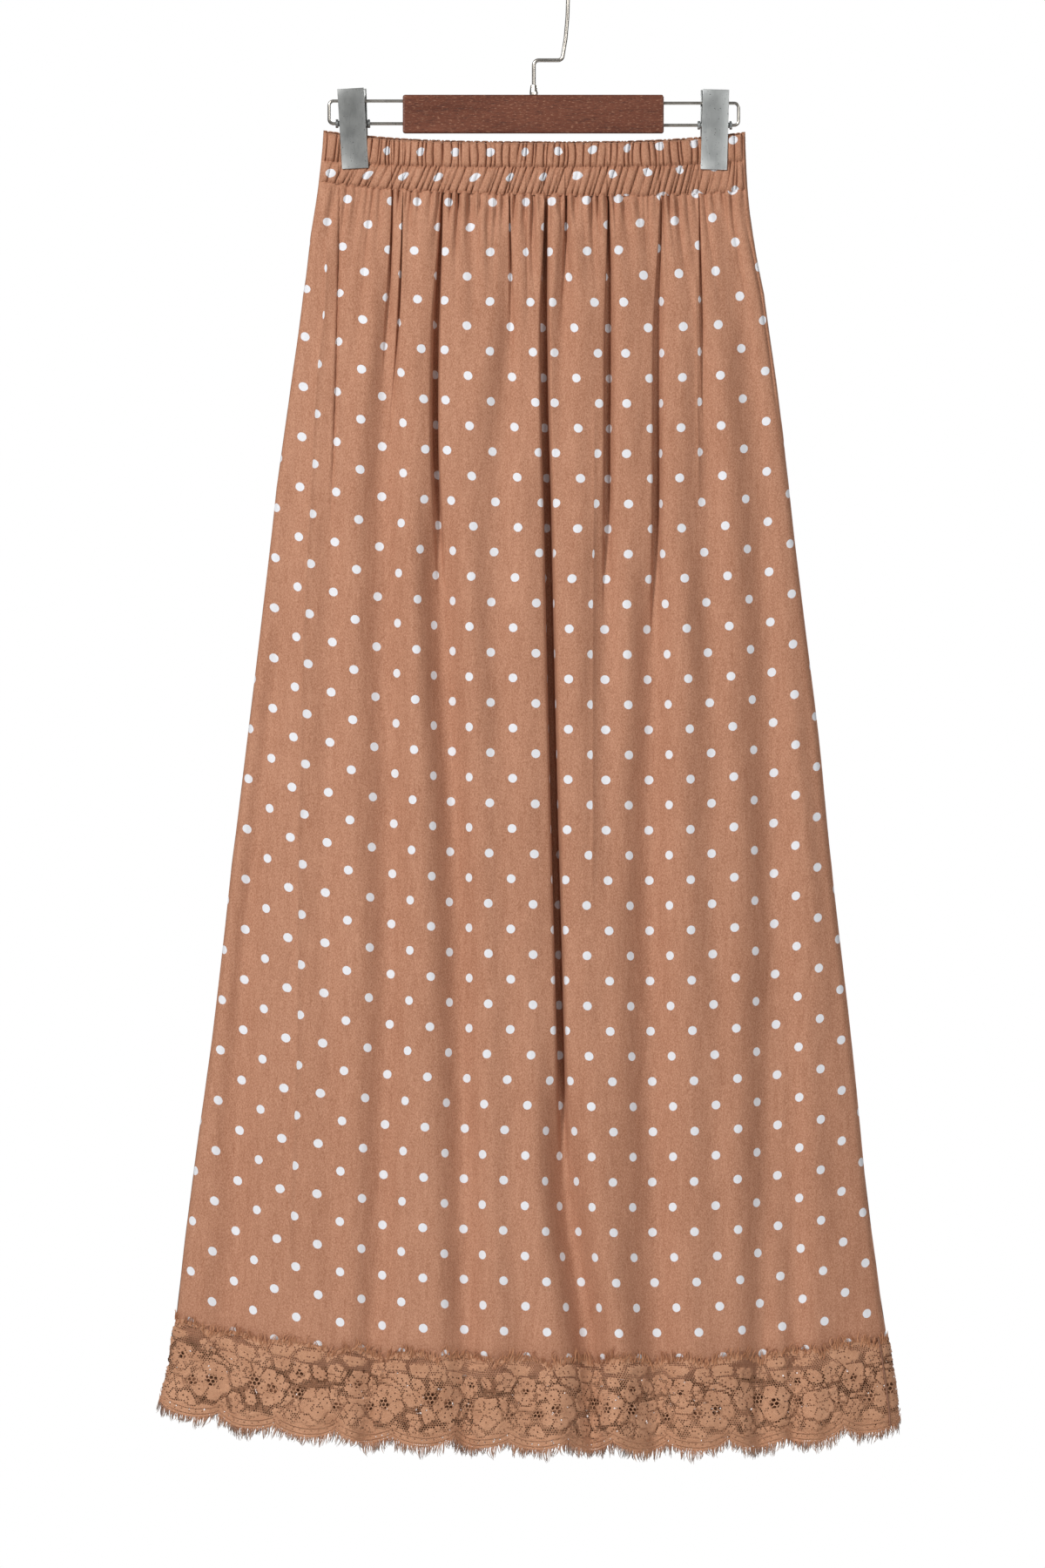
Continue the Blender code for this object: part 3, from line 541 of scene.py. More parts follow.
def inside_of(side, outer, row_step, column_step, wall):
    """A plain inside for a sheet: behind the lowest of the points round each of its own."""
    rows, columns = (spaced(size, size // step + 1)
                     for size, step in zip(outer.shape, (row_step, column_step)))
    kept = np.ix_(rows, columns)
    depth = outer[..., 1] * side.sign
    lowest = depth.copy()
    for row_shift in range(-row_step, row_step + 1):
        for column_shift in range(-column_step, column_step + 1):
            lowest = np.minimum(lowest, np.roll(depth, (row_shift, column_shift), axis=(0, 1)))
    inner = outer[kept].copy()
    behind = np.maximum(lowest[kept] - wall, 0.5 * SEAM_GAP)
    behind[:, [0, -1]] = depth[kept][:, [0, -1]]
    inner[..., 1] = side.sign * behind
    return inner


# ---------------------------------------------------------------- the skirt's cloth
def panel(side, finish):
    """The gathered panel below the casing; its top is tucked in behind the casing's foot."""
    columns, rows = side.panel_grid
    share = np.concatenate([[-0.0028], HEM_SHARE * np.linspace(0.0, 1.0, rows - 1) ** 1.45])
    level = panel_level(share)
    u = tracked_columns(side, columns, level)
    tall = level.upright()
    tuck = -0.7 * np.exp(-np.maximum(share * PANEL_DROP, 0.0) / 1.2) - 1.2 * (share < 0.0)
    tuck -= HEM_TUCK * smooth(LACE_TOP + 0.003, LACE_TOP + 0.017, share)
    outer = cloth(side, u, tall, tuck[:, None])
    bow = outer[..., 2] - tall.middle
    settled = smooth(0.0, 0.13, share)[:, None]
    weft = outer[..., 2] - bow * settled - weft_rise(outer[..., 0]) * (1.0 - settled)
    cut = cut_places(cloth(side, u, tall, gathered=False), cut_width(share), weft)
    settled_row = np.searchsorted(share, EVEN_PRINT / PANEL_DROP)
    cut[:settled_row, :, 0] = cut[settled_row, :, 0]
    cut[..., 0] += tucked_cloth(side, outer[..., 0], outer[..., 2])
    inner = inside_of(side, outer, 4, 4, PANEL_WALL)
    return shell(f"{side.name}_panel", outer, inner, cut, finish, [f"panel_{side.name}"])


Creases = namedtuple("Creases", "places steps sizes starts ends")


def draw_creases(seed):
    """Uneven creases across a channel of the casing: their places and how deep each is at both ends."""
    draw = np.random.default_rng(seed)
    places = np.concatenate([[0.0], np.cumsum(draw.uniform(0.45, 1.6, CRINKLE_COUNT))])
    places /= places[-1]
    steps = np.diff(places, append=2.0 * places[-1] - places[-2])
    kind, strong, weak = (draw.uniform(low, high, CRINKLE_COUNT + 1)
                          for low, high in ((0.0, 1.0), (0.7, 1.0), (0.0, 0.6)))
    starts, ends = np.where(kind < 0.6, strong, weak), np.where(kind > 0.3, strong, weak)
    return Creases(places, steps, draw.uniform(0.5, 1.0, CRINKLE_COUNT + 1), starts, ends)


def crinkle(creases, u, down, span):
    """Height of the crinkled cloth at u, and down from 0 to 1 in its channel."""
    place = np.interp(u, creases.places, np.arange(len(creases.places)))
    number = np.clip(place.astype(int), 0, len(creases.places) - 2)
    part = np.clip(place - number, 0.0, 1.0)
    room = creases.steps[number] * span
    height = CRINKLE_PUFF * creases.sizes[number] * np.sin(np.pi * part) ** 0.6
    for crease, reach in ((number, part * room), (number + 1, (1.0 - part) * room)):
        strength = creases.starts[crease] * (1.0 - down) + creases.ends[crease] * down
        height = height - CRINKLE_DEPTH * strength * np.exp(-(reach / CREASE_WIDTH) ** 1.1)
    return height


def casing_relief(side, u, share, span):
    """Height of the casing's outside over its plain form, for each row and column."""
    upper, lower = (draw_creases(side.seed + shift) for shift in (1, 2))
    ends = smooth(0.0, 0.06, u) * smooth(0.0, 0.06, 1.0 - u)
    down_upper, down_lower = np.clip(2.0 * share, 0.0, 1.0), np.clip(2.0 * share - 1.0, 0.0, 1.0)
    sway = 0.005 * waver(u * span, 0.0 * u, side.seed + 4, 60.0)
    curve = 0.003 * np.sin(np.pi * down_upper) * waver(u * span, 0.0 * u, side.seed + 7, 25.0)
    upper_u = u + (sway * (1.0 - down_upper) + curve) * ends
    lower_u = u - (CRINKLE_LEAN / span * (1.0 - down_lower) + 0.6 * sway * ends) * ends
    in_upper = 1.0 - smooth(0.485, 0.515, share)
    height = in_upper * crinkle(upper, upper_u, down_upper, span)
    height += (1.0 - in_upper) * crinkle(lower, lower_u, down_lower, span)
    height += CHANNEL_PUFF * np.sin(np.pi * np.where(share < 0.5, down_upper, down_lower)) ** 0.6
    near_stitch = hump(share - 0.5, 0.03) + hump(share - 1.0, 0.03)
    height *= 1.0 - 0.35 * near_stitch
    return height - (STITCH_GROOVE + 0.9 * (1.0 - pucker(side, u))) * near_stitch


def casing(side, finish):
    """The turned-down top of a panel, crinkled by the elastic in its two channels."""
    half = np.array(CHANNEL_ROWS)
    turns = np.radians(TOP_TURNS + (0.0,) * (2 * len(half) + 1))[:, None]
    share = np.concatenate([np.zeros(len(TOP_TURNS)), 0.5 * half, 0.5 + 0.5 * half, [1.0]])
    down = share[:, None]
    tall = casing_level(share).upright()
    u = np.linspace(0.0, 1.0, side.casing_columns) + 0.0 * down
    x_left, x_right = outline("left", tall.left), outline("right", tall.right)
    span = x_right - x_left
    x = x_left + span * u
    free = np.minimum.reduce([smooth(*JAW_PRESS, np.abs(x - place)) for place in CLIP_PLACES])
    free = 1.0 - (1.0 - free) * (1.0 - smooth(0.55, 0.8, down))
    seam_fade = smooth(0.0, 3.0, np.minimum(x - x_left, x_right - x))
    relief = casing_relief(side, u, down, span) * (0.15 + 0.85 * free) * seam_fade
    turned = (turns > 0.0) * 1.0
    roll_in = 1.4 * TOP_FOLD * (np.cos(turns) - 1.0)
    outer = cloth(side, u, tall, relief * (1.0 - 0.5 * turned) + roll_in, gathered=False)
    raised = BACK_TOP_RISE * (1.0 - smooth(0.0, 0.3, down)) * (side.sign == BACK)
    outer[..., 2] += (TOP_FOLD * (np.sin(turns) - 1.0) + 0.3 * relief) * turned + raised
    for row, part in enumerate((1.0, 0.5), len(TOP_TURNS)):
        outer[row, :, 2] -= part * TOP_FOLD
    widths = np.full(len(share), CUT_WAIST)
    weft = outer[..., 2] - weft_rise(outer[..., 0])
    cut = cut_places(np.stack([x, 0.0 * x, 0.0 * x], axis=-1), widths, weft)
    cut[..., 0] += CRINKLE_SHARE * (cut_places(outer, widths, weft)[..., 0] - cut[..., 0])
    inner = inside_of(side, outer, 4, 6, CASING_WALL)
    return shell(f"{side.name}_casing", outer, inner, cut, finish, [f"casing_{side.name}"])


# ---------------------------------------------------------------- strands: lashes and stitches
def strands(lines, first, second, sides, capped=True):
    """Points and faces of round strands along lines; two directions square to them give their radii."""
    turns = math.tau * np.arange(sides)[:, None] / sides
    around = np.cos(turns) * first[..., None, :] + np.sin(turns) * second[..., None, :]
    points = lines[:, :, None] + around
    number = np.arange(points.size // 3).reshape(points.shape[:3])
    faces = round_faces(number)
    if capped:
        faces += number[:, 0].tolist() + number[:, -1, ::-1].tolist()
    return points.reshape(-1, 3), faces


def stitches(side, finish):
    """The two rows of stitches through the casing."""
    count = int(316.0 / STITCH_PITCH)
    steps = np.linspace(0.0, 1.0, len(STITCH_SHAPE))
    u = (np.arange(count)[:, None] + 0.25) / count + STITCH_LENGTH / 318.0 * steps
    radii = THREAD_RADIUS * np.array(STITCH_SHAPE)[:, None]
    parts = []
    for share, sink in STITCH_ROWS:
        lift = sink + STITCH_BEND * np.sin(np.pi * steps)
        run = cloth(side, u, casing_level(share + 0.0 * u), lift, gathered=False)
        out = np.cross(unit(run[:, -1:] - run[:, :1]), UP)
        parts.append(strands(run, radii * UP + 0.0 * run, radii * out, 5))
    return new_piece(f"{side.name}_stitches", *joined(parts), finish, "twill")


# ---------------------------------------------------------------- the lace
Flower = namedtuple("Flower", "p q radius petals turn net")
Leaf = namedtuple("Leaf", "p q length width turn bend")
Arc = namedtuple("Arc", "p q radius start end width")
Patch = namedtuple("Patch", "p q net")
# One repeat of the border is three scallops long; p is in scallops and q in mm from the top. A
# flower's last number is the radius of the open net at its heart; 0 gives it a ring of small holes.
FLOWERS = table(
    Flower,
    (0.80, 40.0, 14.0, 6, 0.2, 4.9),
    (1.86, 38.0, 13.0, 5, 0.6, 4.3),
    (2.62, 43.0, 11.5, 5, 0.1, 0.0),
    (1.32, 31.0, 10.0, 5, 0.9, 0.0),
    (0.26, 27.0, 9.5, 6, 0.4, 3.2),
    (2.30, 24.0, 9.5, 5, 0.3, 3.5),
    (2.92, 21.0, 7.5, 5, 0.0, 0.0),
    (1.30, 53.0, 7.0, 5, 0.3, 0.0),
    (2.20, 55.0, 6.5, 5, 0.3, 0.0),
    (0.20, 50.0, 8.0, 6, 0.0, 0.0),
    (1.66, 17.0, 6.0, 5, 0.4, 0.0),
    (0.66, 17.0, 6.0, 5, 0.2, 0.0),
)
LEAVES = table(
    Leaf,
    (0.53, 28.0, 16.0, 3.8, 100.0, 0.02),
    (1.06, 21.0, 16.0, 3.6, 30.0, -0.02),
    (1.08, 57.0, 15.0, 3.2, 150.0, 0.015),
    (0.48, 57.0, 14.0, 3.2, 30.0, -0.015),
    (1.54, 46.0, 18.0, 4.0, 70.0, 0.02),
    (1.58, 27.0, 13.0, 3.4, 120.0, -0.02),
    (2.13, 44.0, 15.0, 3.6, 110.0, 0.02),
    (2.03, 19.0, 13.0, 3.2, 10.0, 0.02),
    (2.62, 24.0, 15.0, 3.6, 60.0, -0.02),
    (2.92, 36.0, 15.0, 3.8, 95.0, 0.02),
    (2.94, 55.0, 15.0, 3.4, 140.0, 0.015),
    (0.03, 38.0, 14.0, 3.4, 65.0, -0.02),
    (2.44, 58.0, 12.0, 3.0, 20.0, 0.0),
    (1.74, 57.0, 14.0, 3.2, 10.0, -0.015),
    (0.94, 12.0, 13.0, 3.0, 175.0, 0.02),
    (1.38, 15.0, 12.0, 3.0, 5.0, 0.02),
    (2.44, 11.0, 13.0, 3.0, 170.0, -0.02),
    (0.14, 11.0, 13.0, 3.0, 10.0, 0.02),
    (1.98, 9.0, 11.0, 2.6, 165.0, 0.0),
)
ARCS = table(
    Arc,
    (0.80, 40.0, 17.5, 195.0, 330.0, 1.9),
    (1.86, 38.0, 17.0, 20.0, 130.0, 1.9),
    (2.62, 43.0, 15.5, 150.0, 290.0, 1.9),
    (0.26, 27.0, 13.5, 30.0, 150.0, 1.9),
)
PATCHES = table(
    Patch, (1.56, 34.0, 5.2), (0.50, 43.0, 4.4), (2.28, 39.0, 4.6), (2.97, 45.0, 3.8))
GROWTH = 2.3                 # how much the motifs are widened
GAP = (1.5, 4.2)             # the least and the most open net between two motifs
BORDER, GARLAND = 8.4, 4.2   # how far the close bands reach from the lower and the upper edge
EYELET_PITCH, EYELET_RISE, EYELET_SIZE = 4.9, 4.5, 1.7
SPRINKLE_PITCH, SPRINKLE_DROP = 6.1, 4.6
PIERCED_OPEN, PORE_OPEN = 0.62, 0.36
NET_SHARES = (0.62, 0.87)    # hole of a cell of the net where it is closest and most open
COARSE_CELL, COARSE_OPEN = 3.3, 0.78
THREAD_GRAIN = 0.13
# The back lace's linings are painted shade: sunk dark sheets that close its holes where the front lace is
# open before them, standing in for the shade behind.
REACH_BEHIND = 1.9           # how near a hole of the front lace the back lace's holes are lined
LINING_DEPTH = 0.4           # how far a lining lies behind its net
KEY_STEP, KEY_SHIFT = 100000, 50      # pack a corner's two numbers into one


def top_edge(p):
    """How far the lace's upper edge lies below its highest line, p in scallops."""
    swing = np.abs(np.sin(np.pi * (p + 0.28)))
    uneven = 0.65 + 0.35 * np.sin(2.1 * np.floor(p + 0.28) + 0.7)
    return TOP_RISE * uneven * (1.0 - swing ** 0.6)


def foot_edge(p):
    """Where the lace's lower edge lies, in mm below its highest line."""
    uneven = 0.85 + 0.15 * np.sin(2.7 * np.round(p) + 0.4)
    return LACE_DEPTH - SCALLOP_RISE * uneven * (1.0 - np.abs(np.sin(np.pi * p)) ** 0.6)


# The corded edges: the edge, how far below it, the cord's radius and its lift.
LACE_CORDS = (
    (foot_edge, -0.4, 0.42, 0.25), (foot_edge, -2.6, 0.22, 0.8), (foot_edge, -6.6, 0.26, 0.9),
    (top_edge, 0.4, 0.24, 0.0))


def from_middle(shape, p, q, pitch):
    """Distances from a shape's middle in mm, with p going round the repeat."""
    repeat = 3.0 * pitch
    across = (p * pitch - shape.p * pitch + 0.5 * repeat) % repeat - 0.5 * repeat
    return across, q - shape.q


def in_heart(places, p, q, shrink=0.0):
    """Whether a place lies in a coarse net: the open heart of a flower or a patch between them."""
    inside = np.zeros(p.shape, bool)
    for shape in FLOWERS + PATCHES:
        across, down = from_middle(shape, p + places.side.chart_start, q, places.pitch)
        inside |= np.hypot(across, down) < shape.net - shrink
    return inside


def flower_depth(flower, across, down):
    """How far inside a flower each place lies, and where its petals part."""
    reach, turn = np.hypot(across, down), np.arctan2(down, across) - flower.turn
    lobe = np.abs(np.cos(0.5 * flower.petals * turn))
    depth = flower.radius * (0.68 + 0.32 * lobe ** 0.6) - reach
    aside = 2.0 * reach / flower.petals
    parting = (lobe * aside < 0.95) & (reach > max(0.36 * flower.radius, flower.net + 1.5))
    vein = (np.abs(np.sin(0.5 * flower.petals * turn)) * aside < 0.7) & (reach % 3.3 < 1.6)
    vein &= (reach > 0.5 * flower.radius) & (depth > 1.6) & (flower.radius > 9.0)
    ring = (np.abs(reach - 2.9) < 0.95) & (np.cos(6.0 * turn) > -0.1) & (flower.net == 0.0)
    return depth, parting | vein | ring


def leaf_depth(leaf, across, down):
    """How far inside a leaf each place lies, and the holes along its rib."""
    turn = math.radians(leaf.turn)
    along = across * math.cos(turn) + down * math.sin(turn)
    aside = down * math.cos(turn) - across * math.sin(turn) + leaf.bend * along ** 2
    depth = leaf.width * (1.0 - np.hypot(2.0 * along / leaf.length, aside / leaf.width))
    depth = depth + 0.45 * np.cos(2.3 * along)
    return depth, (np.abs(aside) < 0.85) & (along % 3.4 < 1.8) & (depth > 0.8)


def motifs(p, q, pitch):
    """How far inside the nearest motif and the next one each place lies, and where they are pierced."""
    depths = []
    pierced = np.zeros(p.shape, bool)
    for shapes, shape_depth in ((FLOWERS, flower_depth), (LEAVES, leaf_depth)):
        for shape in shapes:
            depth, holes = shape_depth(shape, *from_middle(shape, p, q, pitch))
            depths.append(depth)
            pierced |= holes & (depth > 0.0)
    for arc in ARCS:
        across, down = from_middle(arc, p, q, pitch)
        turn = (np.degrees(np.arctan2(down, across)) - arc.start) % 360.0
        band = 0.5 * arc.width - np.abs(np.hypot(across, down) - arc.radius)
        depths.append(np.where(turn < arc.end - arc.start, band, -9.0))
    ordered = np.sort(np.stack(depths), axis=0)
    return ordered[-1], ordered[-2], pierced


def lace_chart(places, p, q):
    """For each place: how far open its cell is, and how high its thread stands."""
    chart_p = p + places.side.chart_start
    nearest, other, pierced = motifs(chart_p, q, places.pitch)
    loose = 0.5 + 0.35 * np.sin(2.3 * chart_p + 0.09 * q) + 0.25 * np.sin(5.1 * chart_p - 0.16 * q + 1.0)
    gap = GAP[0] + (GAP[1] - GAP[0]) * np.clip(loose, 0.0, 1.0) ** 2
    inside = np.minimum(nearest + GROWTH * (1.2 - loose), nearest - other - gap)
    cord_height = 0.75 * hump(inside - 0.8, 0.7) + 0.35 * smooth(0.0, 1.2, inside)
    above_foot, below_top, along = foot_edge(p) - q, q - top_edge(p), p * places.pitch
    border = BORDER - above_foot + 1.2 * np.sin(math.tau * 3.0 * p)
    garland = GARLAND + 1.8 * np.sin(math.tau * 1.5 * p + 0.6) - below_top
    edging = np.maximum(border, garland)
    parted = (border > -1.5) | ((garland > -1.3) & (np.sin(23.0 * p) > -0.4))
    inside = np.maximum(np.where(parted, np.minimum(inside, -0.2), inside), edging)
    closed = inside > 0.0
    ease = 0.5 + 0.35 * np.sin(1.9 * chart_p + 0.11 * q) + 0.25 * np.sin(7.0 * chart_p - 0.2 * q)
    opened = NET_SHARES[0] + (NET_SHARES[1] - NET_SHARES[0]) * np.clip(ease + 0.25, 0.0, 1.0)
    opened = np.where(closed, 0.0, opened * (0.72 + 0.28 * smooth(0.0, 1.5, -inside)))
    pores = np.sin(57.0 * p + 2.0 * q) + np.sin(41.0 * p - 2.6 * q) > np.where(garland > 0.0, 0.6, 1.85)
    opened = np.where(pores & closed & (border < 0.0), PORE_OPEN, opened)
    pierced |= (np.abs(above_foot - EYELET_RISE) < 0.95) & (along % EYELET_PITCH < EYELET_SIZE)
    pierced |= (np.abs(below_top - SPRINKLE_DROP) < 0.9) & ((along + 1.0) % SPRINKLE_PITCH < EYELET_SIZE)
    opened = np.where(pierced & closed, PIERCED_OPEN, opened)
    return opened, cord_height * (1.0 - smooth(-2.0, 0.0, edging))


class LacePlaces:
    """Puts the lace's own places, along its edge and down from its top, on the hanging cloth."""

    def __init__(self, side):
        self.side = side
        self.u_table = np.linspace(0.0, 1.0, 3001)
        level = panel_level(np.full_like(self.u_table, 1.01))
        line = cloth(side, self.u_table, level, gathered=False)
        steps = np.linalg.norm(np.diff(line[:, :2], axis=0), axis=-1)
        self.run = np.concatenate([[0.0], np.cumsum(steps)])
        self.length = self.run[-1]
        self.pitch = self.length / LACE_SCALLOPS

    def u_at(self, p):
        along = np.clip(p / LACE_SCALLOPS, 0.0, 1.0)
        return np.interp(along * self.length, self.run, self.u_table)

    def p_at(self, u):
        return np.interp(u, self.u_table, self.run) / self.pitch

    def at(self, p, q, lift):
        """Points in mm, and the directions off the cloth."""
        u = self.u_at(p)
        share = LACE_TOP + q / PANEL_DROP
        level = panel_level(share)
        off = outward(self.side, u, level)
        free = smooth(25.0, 75.0, q)
        sway = 1.3 * free * np.sin(math.tau * p * 1.7 + self.side.seed) * smooth(0.0, 0.02, u * (1.0 - u))
        base = cloth(self.side, u, level, gathered=False)
        stand = LACE_LIFT[0] + (LACE_LIFT[1] - LACE_LIFT[0]) * smooth(1.0, 12.0, q)
        return base + off * np.expand_dims(stand + lift + sway, -1), off


def net_sway(p, q):
    """Draws the straight rows of the net into soft waves, as lace is worked and washed."""
    down = q + 1.6 * np.sin(2.3 * p + 0.05 * q) + 0.7 * np.sin(6.1 * p)
    return p + 0.022 * np.sin(0.21 * q + 2.9 * p), down


def net(places, cell, kept_places, open_shares, lined_places):
    """A six-sided net: rules say which cells it keeps, how open each is, and which holes are lined.

    Gives the places, how much of each lies at the rim of a lined hole, which sinks it and darkens it as
    painted shade, and the faces.
    """
    across_step, down_step = 0.5 * cell, cell / math.sqrt(3.0) / 2.0
    rows, columns = int(LACE_DEPTH / (3.0 * down_step)) + 4, int(places.length / cell)
    stretch = (places.length - 0.02) / ((2 * columns + 1) * across_step)

    def on_lace(x, y):
        return net_sway(x * across_step * stretch / places.pitch, y * down_step)

    row, column = np.mgrid[0:rows, 0:columns]
    middle_x, middle_y = (2 * column + row % 2 + 1).ravel(), (3 * row - 3).ravel()
    p, q = on_lace(middle_x, middle_y)
    kept = (p > 0.0) & (p < LACE_SCALLOPS) & (q > top_edge(p) + 0.3) & (q < foot_edge(p) - 0.4)
    kept &= kept_places(p, q)
    p, q = p[kept], q[kept]
    corner_x = middle_x[kept, None] + np.array((1, 0, -1, -1, 0, 1))
    corner_y = middle_y[kept, None] + np.array((1, 2, 1, -1, -2, -1))
    keys, corner = np.unique(corner_x * KEY_STEP + corner_y + KEY_SHIFT, return_inverse=True)
    corner = corner.reshape(corner_x.shape)
    corner_p, corner_q = on_lace(keys // KEY_STEP, keys % KEY_STEP - KEY_SHIFT)
    opened = open_shares(p, q)
    holes = opened > 0.0
    share, ring = opened[holes, None], corner[holes]
    hole_p, hole_q = (middle[holes, None] + (corners[ring] - middle[holes, None]) * share
                      for middle, corners in ((p, corner_p), (q, corner_q)))
    all_p = np.concatenate([corner_p, hole_p.ravel()])
    all_q = np.concatenate([corner_q, hole_q.ravel()])
    inner = len(keys) + np.arange(ring.size).reshape(-1, 6)
    quads = np.stack([ring, np.roll(ring, -1, 1), np.roll(inner, -1, 1), inner], axis=-1)
    lined = lined_places(p[holes], q[holes])
    sink_and_painted_shade = np.concatenate([np.zeros(len(keys)), np.repeat(lined * 1.0, 6)])
    faces = quads.reshape(-1, 4).tolist() + corner[~holes].tolist() + inner[lined].tolist()
    return all_p, all_q, sink_and_painted_shade, faces


def cord(places, p, q, lift, high, wide, sides, capped=True):
    """A cord along places of the lace, as points and faces."""
    line, off = places.at(p, q, lift + 0.0 * p)
    aside = np.cross(unit(np.gradient(line, axis=0)), off)
    return strands(line[None], high * off[None], wide * aside[None], sides, capped)


def joined(parts):
    """Several sets of points and faces as one."""
    points, faces, first = [], [], 0
    for some_points, some_faces in parts:
        points.append(some_points)
        faces += [[first + corner for corner in face] for face in some_faces]
        first += len(some_points)
    return np.concatenate(points), faces


def lace(places, front, finish):
    """The border: a fine net closed into motifs, coarser nets at their hearts, and corded edges."""
    side = places.side

    def lined(p, q):
        """Where the back lace's holes are lined with a sunk sheet in painted shade, because the front lace is
        open before them.
        """
        if side.sign == FRONT:
            return np.zeros(p.shape, bool)
        front_p = front.p_at(places.u_at(p))
        found = in_heart(front, front_p, q, -1.6)
        for turn in np.arange(0.0, math.tau, math.tau / 8.0):
            near_p = front_p + REACH_BEHIND * math.cos(turn) / front.pitch
            opened, _ = lace_chart(front, near_p, q + REACH_BEHIND * math.sin(turn))
            found |= opened > 0.3
        return found

    nets = (
        (side.fine_cell, 0.0, lambda p, q: ~in_heart(places, p, q, 0.5),
         lambda p, q: lace_chart(places, p, q)[0]),
        (COARSE_CELL, 0.15, lambda p, q: in_heart(places, p, q, -0.6),
         lambda p, q: np.full(p.shape, COARSE_OPEN)))
    parts, painted_shades = [], []
    for cell, lift, kept, shares in nets:
        p, q, sink_and_painted_shade, faces = net(places, cell, kept, shares, lined)
        grain = np.random.default_rng(side.seed + 30).normal(0.0, THREAD_GRAIN, len(p))
        height = lace_chart(places, p, q)[1] + grain + lift - LINING_DEPTH * sink_and_painted_shade
        parts.append((places.at(p, q, height)[0], faces))
        painted_shades.append(sink_and_painted_shade)
    p = np.linspace(0.0, LACE_SCALLOPS, int(places.length / 1.2))
    for edge, down, radius, lift in LACE_CORDS:
        parts.append(cord(places, p, edge(p) + down, lift, radius, radius, 5))
    points, faces = joined(parts)
    # The tint's first number is painted shade: it darkens the back lace's sunk linings.
    tint = np.zeros((len(points), 3))
    tint[:sum(map(len, painted_shades)), 0] = np.concatenate(painted_shades)
    return new_piece(f"{side.name}_lace", points, faces, finish, "galloon", [f"lace_{side.name}"], tint)


def lash_row(places, edge, down, way, length, spacing, seed):
    """One row of eyelashes along an edge of the lace; way is 1 down and -1 up."""
    draw = np.random.default_rng(seed)
    count = int(places.length / spacing)
    p = (np.arange(count) + draw.uniform(0.1, 0.9, count)) / count * LACE_SCALLOPS
    tuft = np.floor(p * 9.3 + 0.4 * np.sin(5.0 * p)).astype(int)
    tuft -= tuft.min()
    tuft_middle = np.bincount(tuft, p) / np.maximum(np.bincount(tuft), 1)
    tuft_lean, tuft_size = (draw.uniform(low, 1.0, tuft.max() + 2)[tuft] for low in (-1.0, 0.45))
    size = length * tuft_size * draw.uniform(0.65, 1.0, count)
    root = edge(p) + down + max(-way, 0.0) * draw.uniform(0.0, 5.0, count)
    wild = 1.0 if way > 0.0 else 2.2
    lean = wild * (1.6 * tuft_lean + 0.8 * draw.normal(0.0, 0.8, count))
    lean = (lean + 0.6 * (tuft_middle[tuft] - p) * places.pitch)[:, None]
    bend = wild * draw.normal(0.0, 0.7, (count, 1))
    curl = draw.normal(0.0, 0.8, (count, 1))
    steps = np.linspace(0.0, 1.0, len(LASH_TAPER))[None, :]
    aside = lean * steps ** 1.6 + bend * np.sin(np.pi * steps)
    all_p = np.clip(p[:, None] + aside / places.pitch, 0.0, LACE_SCALLOPS)
    all_q = root[:, None] + way * size[:, None] * (steps - 0.12 * wild * steps ** 3)
    lift = 0.3 + curl * steps ** 1.5 + draw.uniform(-0.2, 0.3, (count, 1)) + max(-way, 0.0) * 0.7 * steps
    centres, off = places.at(all_p, all_q, np.maximum(lift, 0.0 if way < 0.0 else -0.6))
    out = off[:, :1]
    radii = LASH_RADIUS * np.array(LASH_TAPER)[:, None]
    points, faces = strands(centres, radii * np.cross(out, UP), radii * out, LASH_SIDES)
    # Painted light: the hanging lashes turn grey towards their tips, for the white backdrop seen through
    # their thin ends.
    grey = max(way, 0.0) * np.minimum(steps * draw.uniform(0.5, 1.6, (count, 1)), 1.0)
    tone = draw.uniform(0.0, 1.0, (count, 1)) + 0.0 * steps
    tint = np.stack([grey, tone, 0.0 * grey], axis=-1)
    return points, faces, np.repeat(tint.reshape(-1, 3), LASH_SIDES, axis=0)


def lashes(places, finish):
    """The eyelashes of the lower edge, hanging, and of the upper edge, lying on the cloth."""
    side = places.side
    kinds = ((foot_edge, -0.2, 1.0, LOWER_LASH), (top_edge, 0.3, -1.0, UPPER_LASH))
    rows = [lash_row(places, *kind, side.lash_spacing[index], side.seed + 40 + index)
            for index, kind in enumerate(kinds)]
    tints = np.concatenate([row[2] for row in rows])
    name, solid = f"{side.name}_lashes", [f"lashes_{side.name}"]
    return new_piece(name, *joined([row[:2] for row in rows]), finish, "galloon", solid, tints, False)


def lace_seam(places, finish):
    """The seam that joins the front lace to the back lace a little inside its right edge."""
    q = np.linspace(1.0, LACE_DEPTH - 2.0, 60)
    p = places.p_at(1.0 - SEAM_INSET / HEM_WIDTH) + 0.0 * q
    points, faces = cord(places, p, q, 1.1 + 0.35 * np.sin(2.1 * q), 0.6, 0.75, 6, capped=False)
    return new_piece(f"{places.side.name}_lace_seam", points, faces, finish, "galloon")


# ---------------------------------------------------------------- finishes
class Value:
    """One socket of a node, so that shader maths can be written as expressions."""

    def __init__(self, nodes, socket):
        self.nodes = nodes
        self.socket = socket

    def __add__(self, other):
        return self.nodes.maths("ADD", self, other)

    def __sub__(self, other):
        return self.nodes.maths("SUBTRACT", self, other)

    def __rsub__(self, other):
        return self.nodes.maths("SUBTRACT", other, self)

    def __mul__(self, other):
        return self.nodes.maths("MULTIPLY", self, other)

    def __truediv__(self, other):
        return self.nodes.maths("DIVIDE", self, other)

    def __rtruediv__(self, other):
        return self.nodes.maths("DIVIDE", other, self)

    __radd__ = __add__
    __rmul__ = __mul__


